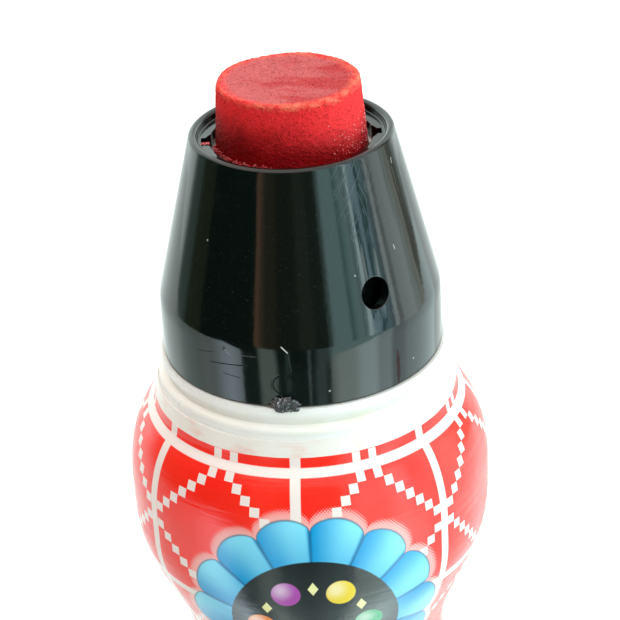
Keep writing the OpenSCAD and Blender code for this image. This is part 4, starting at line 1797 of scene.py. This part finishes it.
    def build_ink_skin(self) -> None:
        """Builds the wrinkled skin of hardened ink that lies over the left notch."""
        body = bmesh.new()
        across, along = 10, 26
        rows = []
        for i in range(along + 1):
            share = i / along
            row = []
            for j in range(across + 1):
                side = (j / across - 0.5) * (0.85 - 0.25 * math.sin(math.pi * share))
                radius = 9.45 + 0.95 * share
                crease = noise.noise(Vector((share * 5.0, side * 3.0, 2.0)))
                turn = self.skin_turn + math.degrees((side + 0.12 * crease) / radius)
                row.append(body.verts.new(on_wall(radius, turn, self.deck_z + 0.06 + 0.16 * crease)))
            rows.append(row)
        bridge(body, rows)
        bmesh.ops.recalc_face_normals(body, faces=body.faces)
        mesh = plain_mesh("ink_skin", body)
        skin = WetInk(name="ink_skin", colour=(0.42, 0.01, 0.012), dried_and_glint=(0.75, 0.16, 0.15), roughness=0.2)
        piece = new_piece("ink_skin", mesh, skin)
        thicken(piece, self.skin_t)
        shade(piece.data, 60.0)
        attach(piece, Body.FIXED.value)
        LOG.info("ink_skin: %d faces", len(piece.data.polygons))


@dataclass
class Applicator:
    """Pieces inside the collar: the foam's holder and the valve."""

    wire_d: float = 0.55
    coil_r: float = 3.35
    pitch: float = 1.3
    sides: int = 14

    def dress(self, node: str, finish: Finish) -> None:
        """Gives a CAD node its material."""
        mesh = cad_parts[node].data
        mesh.materials.clear()
        mesh.materials.append(finish.material())
        LOG.info("%s: dressed in %s", node, finish.name)

    def build(self) -> None:
        """Dresses the hidden pieces and builds the round spring."""
        finishes = {
            "tip_holder": MouldedPlastic("holder_white", stain_share=0.33),
            "valve_poppet": MouldedPlastic("poppet_natural", (0.8, 0.8, 0.78), stain_share=0.5),
            "valve_seat": MouldedPlastic("seat_natural", (0.84, 0.82, 0.78), stain_share=0.4),
            "neck_gasket": MouldedPlastic("gasket_foam", (0.76, 0.77, 0.78), roughness=0.7),
            "valve_disc": SealRubber(),
        }
        for node, finish in finishes.items():
            self.dress(node, finish)
        self.build_spring()

    def build_spring(self) -> None:
        """Builds the spring as one round wire, as long as the node that it stands for."""
        low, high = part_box("valve_spring")
        rise = (high.z - low.z) * PER_MM - self.wire_d
        tool = GeometryTool(
            "valve_coil",
            {
                "Turns": rise / self.pitch,
                "Radius": self.coil_r * MM,
                "Rise": rise * MM,
                "Foot": low.z + self.wire_d / 2 * MM,
                "Wire Radius": self.wire_d / 2 * MM,
                "Sides": self.sides,
                "Steps": 40,
                "Material": SteelWire().material(),
            },
        )
        graph, given = tool.graph, tool.given
        line = tool.step(
            "GeometryNodeCurveSpiral",
            {
                "Resolution": given("Steps"),
                "Rotations": given("Turns"),
                "Start Radius": given("Radius"),
                "End Radius": given("Radius"),
                "Height": given("Rise"),
            },
        )
        ring = tool.step(
            "GeometryNodeCurvePrimitiveCircle", {"Resolution": given("Sides"), "Radius": given("Wire Radius")}
        )
        wire = tool.step(
            "GeometryNodeCurveToMesh",
            {"Curve": line.outputs[0], "Profile Curve": ring.outputs[0], "Fill Caps": True},
        )
        tool.finish(tool.moved(wire.outputs[0], graph.join(0.0, 0.0, given("Foot"))))
        spring = new_piece("valve_coil", bpy.data.meshes.new("valve_coil"))
        tool.run(spring)
        shade(spring.data, 40.0)
        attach(spring, Body.FIXED.value)
        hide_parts("valve_spring")
        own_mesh(spring)
        LOG.info("valve_coil: %d faces", len(spring.data.polygons))


@dataclass
class Studio:
    """Camera, floor and the room that lights the dauber."""

    distance: float = 240.0
    elevation: float = 29.24
    roll: float = -3.36
    target_z: float = 88.0
    focal_px: float = 1983.1
    frame_px: float = 620.0
    target_px: tuple[float, float] = (303.04, 335.35)
    film_width: float = 36.0
    floor_half: float = 0.36
    white: Colour = (1.0, 1.0, 1.0)
    dark: Colour = (0.02, 0.022, 0.02)
    ceiling_left: Colour = (2.10, 1.94, 1.82)
    ceiling_right: Colour = (1.88, 1.72, 1.75)
    strips: tuple[Strip, ...] = (
        Strip(-125.0, -104.0, (0.30, 0.42, 0.36), 5.0),
        Strip(-104.0, -87.0, (0.13, 0.15, 0.08), 2.0),
        Strip(-36.0, -2.0, (0.10, 0.07, 0.04), 1.5),
        Strip(-33.0, -21.0, (0.24, 0.18, 0.09), 4.0),
        Strip(-38.0, -30.5, (0.55, 0.36, 0.21), 1.8),
        Strip(-38.0, -34.0, (1.20, 0.66, 0.38), 1.3),
        Strip(-2.0, 20.0, (0.12, 0.12, 0.09), 2.0),
        Strip(-3.0, 9.0, (0.20, 0.20, 0.14), 2.0),
        Strip(19.5, 24.0, (0.55, 0.80, 0.72), 1.0),
        Strip(23.0, 103.0, (1.75, 2.8, 2.75), 2.0),
        Strip(38.0, 41.6, (0.9, 1.7, 1.65), 0.9),
        Strip(41.6, 44.0, (1.35, 2.4, 2.5), 0.8),
        Strip(48.2, 50.2, (1.35, 1.9, 2.0), 0.7),
        Strip(52.4, 56.4, (5.0, 6.5, 6.7), 0.8),
        Strip(56.4, 59.8, (2.5, 3.8, 4.0), 0.8),
        Strip(59.8, 63.8, (2.1, 3.3, 3.8), 0.8),
        Strip(63.8, 67.6, (0.45, 0.9, 0.95), 0.9),
        Strip(67.6, 73.0, (1.2, 2.0, 2.1), 0.9),
        Strip(73.0, 77.0, (0.95, 1.3, 1.4), 0.9),
        Strip(77.2, 81.4, (3.2, 3.7, 3.65), 1.0),
        Strip(81.4, 86.0, (1.5, 1.6, 1.55), 1.2),
        Strip(86.0, 103.0, (2.5, 2.85, 2.8), 2.0),
        Strip(103.0, 110.0, (1.7, 1.95, 1.85), 2.5),
        Strip(110.0, 117.0, (1.4, 1.45, 1.25), 2.0),
        Strip(117.0, 126.0, (0.5, 0.5, 0.42), 2.0),
        Strip(126.0, 131.5, (0.85, 1.0, 0.95), 2.0),
        Strip(131.5, 157.0, (1.85, 2.05, 2.02), 3.5),
        Strip(157.0, 200.0, (1.35, 1.5, 1.45), 6.0),
        Strip(-200.0, -121.5, (1.75, 1.98, 1.93), 5.0),
    )

    def build_camera(self) -> None:
        """Places the camera so that the collar's foot falls on its pixel."""
        tilt = math.radians(self.elevation)
        target = Vector((0.0, 0.0, self.target_z)) * MM
        place = target + Vector((0.0, -math.cos(tilt), math.sin(tilt))) * self.distance * MM
        middle = self.frame_px / 2
        ray = Vector(
            ((self.target_px[0] - middle) / self.focal_px, (middle - self.target_px[1]) / self.focal_px, -1.0)
        ).normalized()
        look = (target - place).to_track_quat("-Z", "Y").to_matrix()
        roll = Matrix.Rotation(math.radians(self.roll), 3, "Z")
        turn = (roll @ ray).rotation_difference(Vector((0.0, 0.0, -1.0))).to_matrix()
        data = bpy.data.cameras.new("camera")
        data.sensor_width = self.film_width
        data.lens = self.focal_px / self.frame_px * self.film_width
        data.clip_start = 0.01
        camera = bpy.data.objects.new("camera", data)
        camera.matrix_world = Matrix.Translation(place) @ (look @ turn @ roll).to_4x4()
        bpy.context.scene.collection.objects.link(camera)
        bpy.context.scene.camera = camera

    def build_floor(self) -> None:
        """Lays the pale floor."""
        half = self.floor_half
        corners = [(-half, -half, 0), (half, -half, 0), (half, half, 0), (-half, half, 0)]
        mesh = bpy.data.meshes.new("floor")
        mesh.from_pydata(corners, [], [(0, 1, 2, 3)])
        new_piece("floor", mesh, StudioWhite())

    def build_world(self) -> None:
        """Makes the room: a window with its bars on the right, pale behind, dark in front and on the left."""
        world = bpy.data.worlds.new("room")
        world.use_nodes = True
        bpy.context.scene.world = world
        graph = Graph(world.node_tree)
        back = world.node_tree.nodes["Background"]
        towards = Term(graph, graph.add("ShaderNodeTexCoord").outputs["Generated"])
        x, y, z = graph.split(towards)
        turn = graph.math("ARCTAN2", x, -y) * math.degrees(1.0)
        ragged = (graph.noise(towards, 20.0, 3.0, 0.65) - 0.5) * graph.span(turn, 92.0, 112.0, 0.6, 22.0)
        room = paint_strips(graph, turn + ragged, self.dark, self.strips)
        ceiling = graph.blend(graph.smooth(x, -0.6, 0.6), self.ceiling_left, self.ceiling_right)
        room = graph.blend(graph.smooth(z, 0.45, 0.75), room, ceiling)
        rays = graph.add("ShaderNodeLightPath")
        graph.feed(back.inputs["Color"], graph.blend(graph.seen(rays), room, self.white))

    def build(self) -> None:
        """Sets the whole stage."""
        bpy.context.scene.view_settings.view_transform = "Standard"
        self.build_camera()
        self.build_floor()
        self.build_world()
        LOG.info("stage set")


def main() -> None:
    """Builds the stage and every piece of the dauber, in order."""
    logging.basicConfig(level=logging.INFO, format="%(name)s %(message)s")
    Studio().build()
    bottle = Bottle()
    bottle.build()
    Film(bottle).build()
    Collar().build()
    Applicator().build()
    FoamTip().build()


if __name__ == "__main__":
    main()
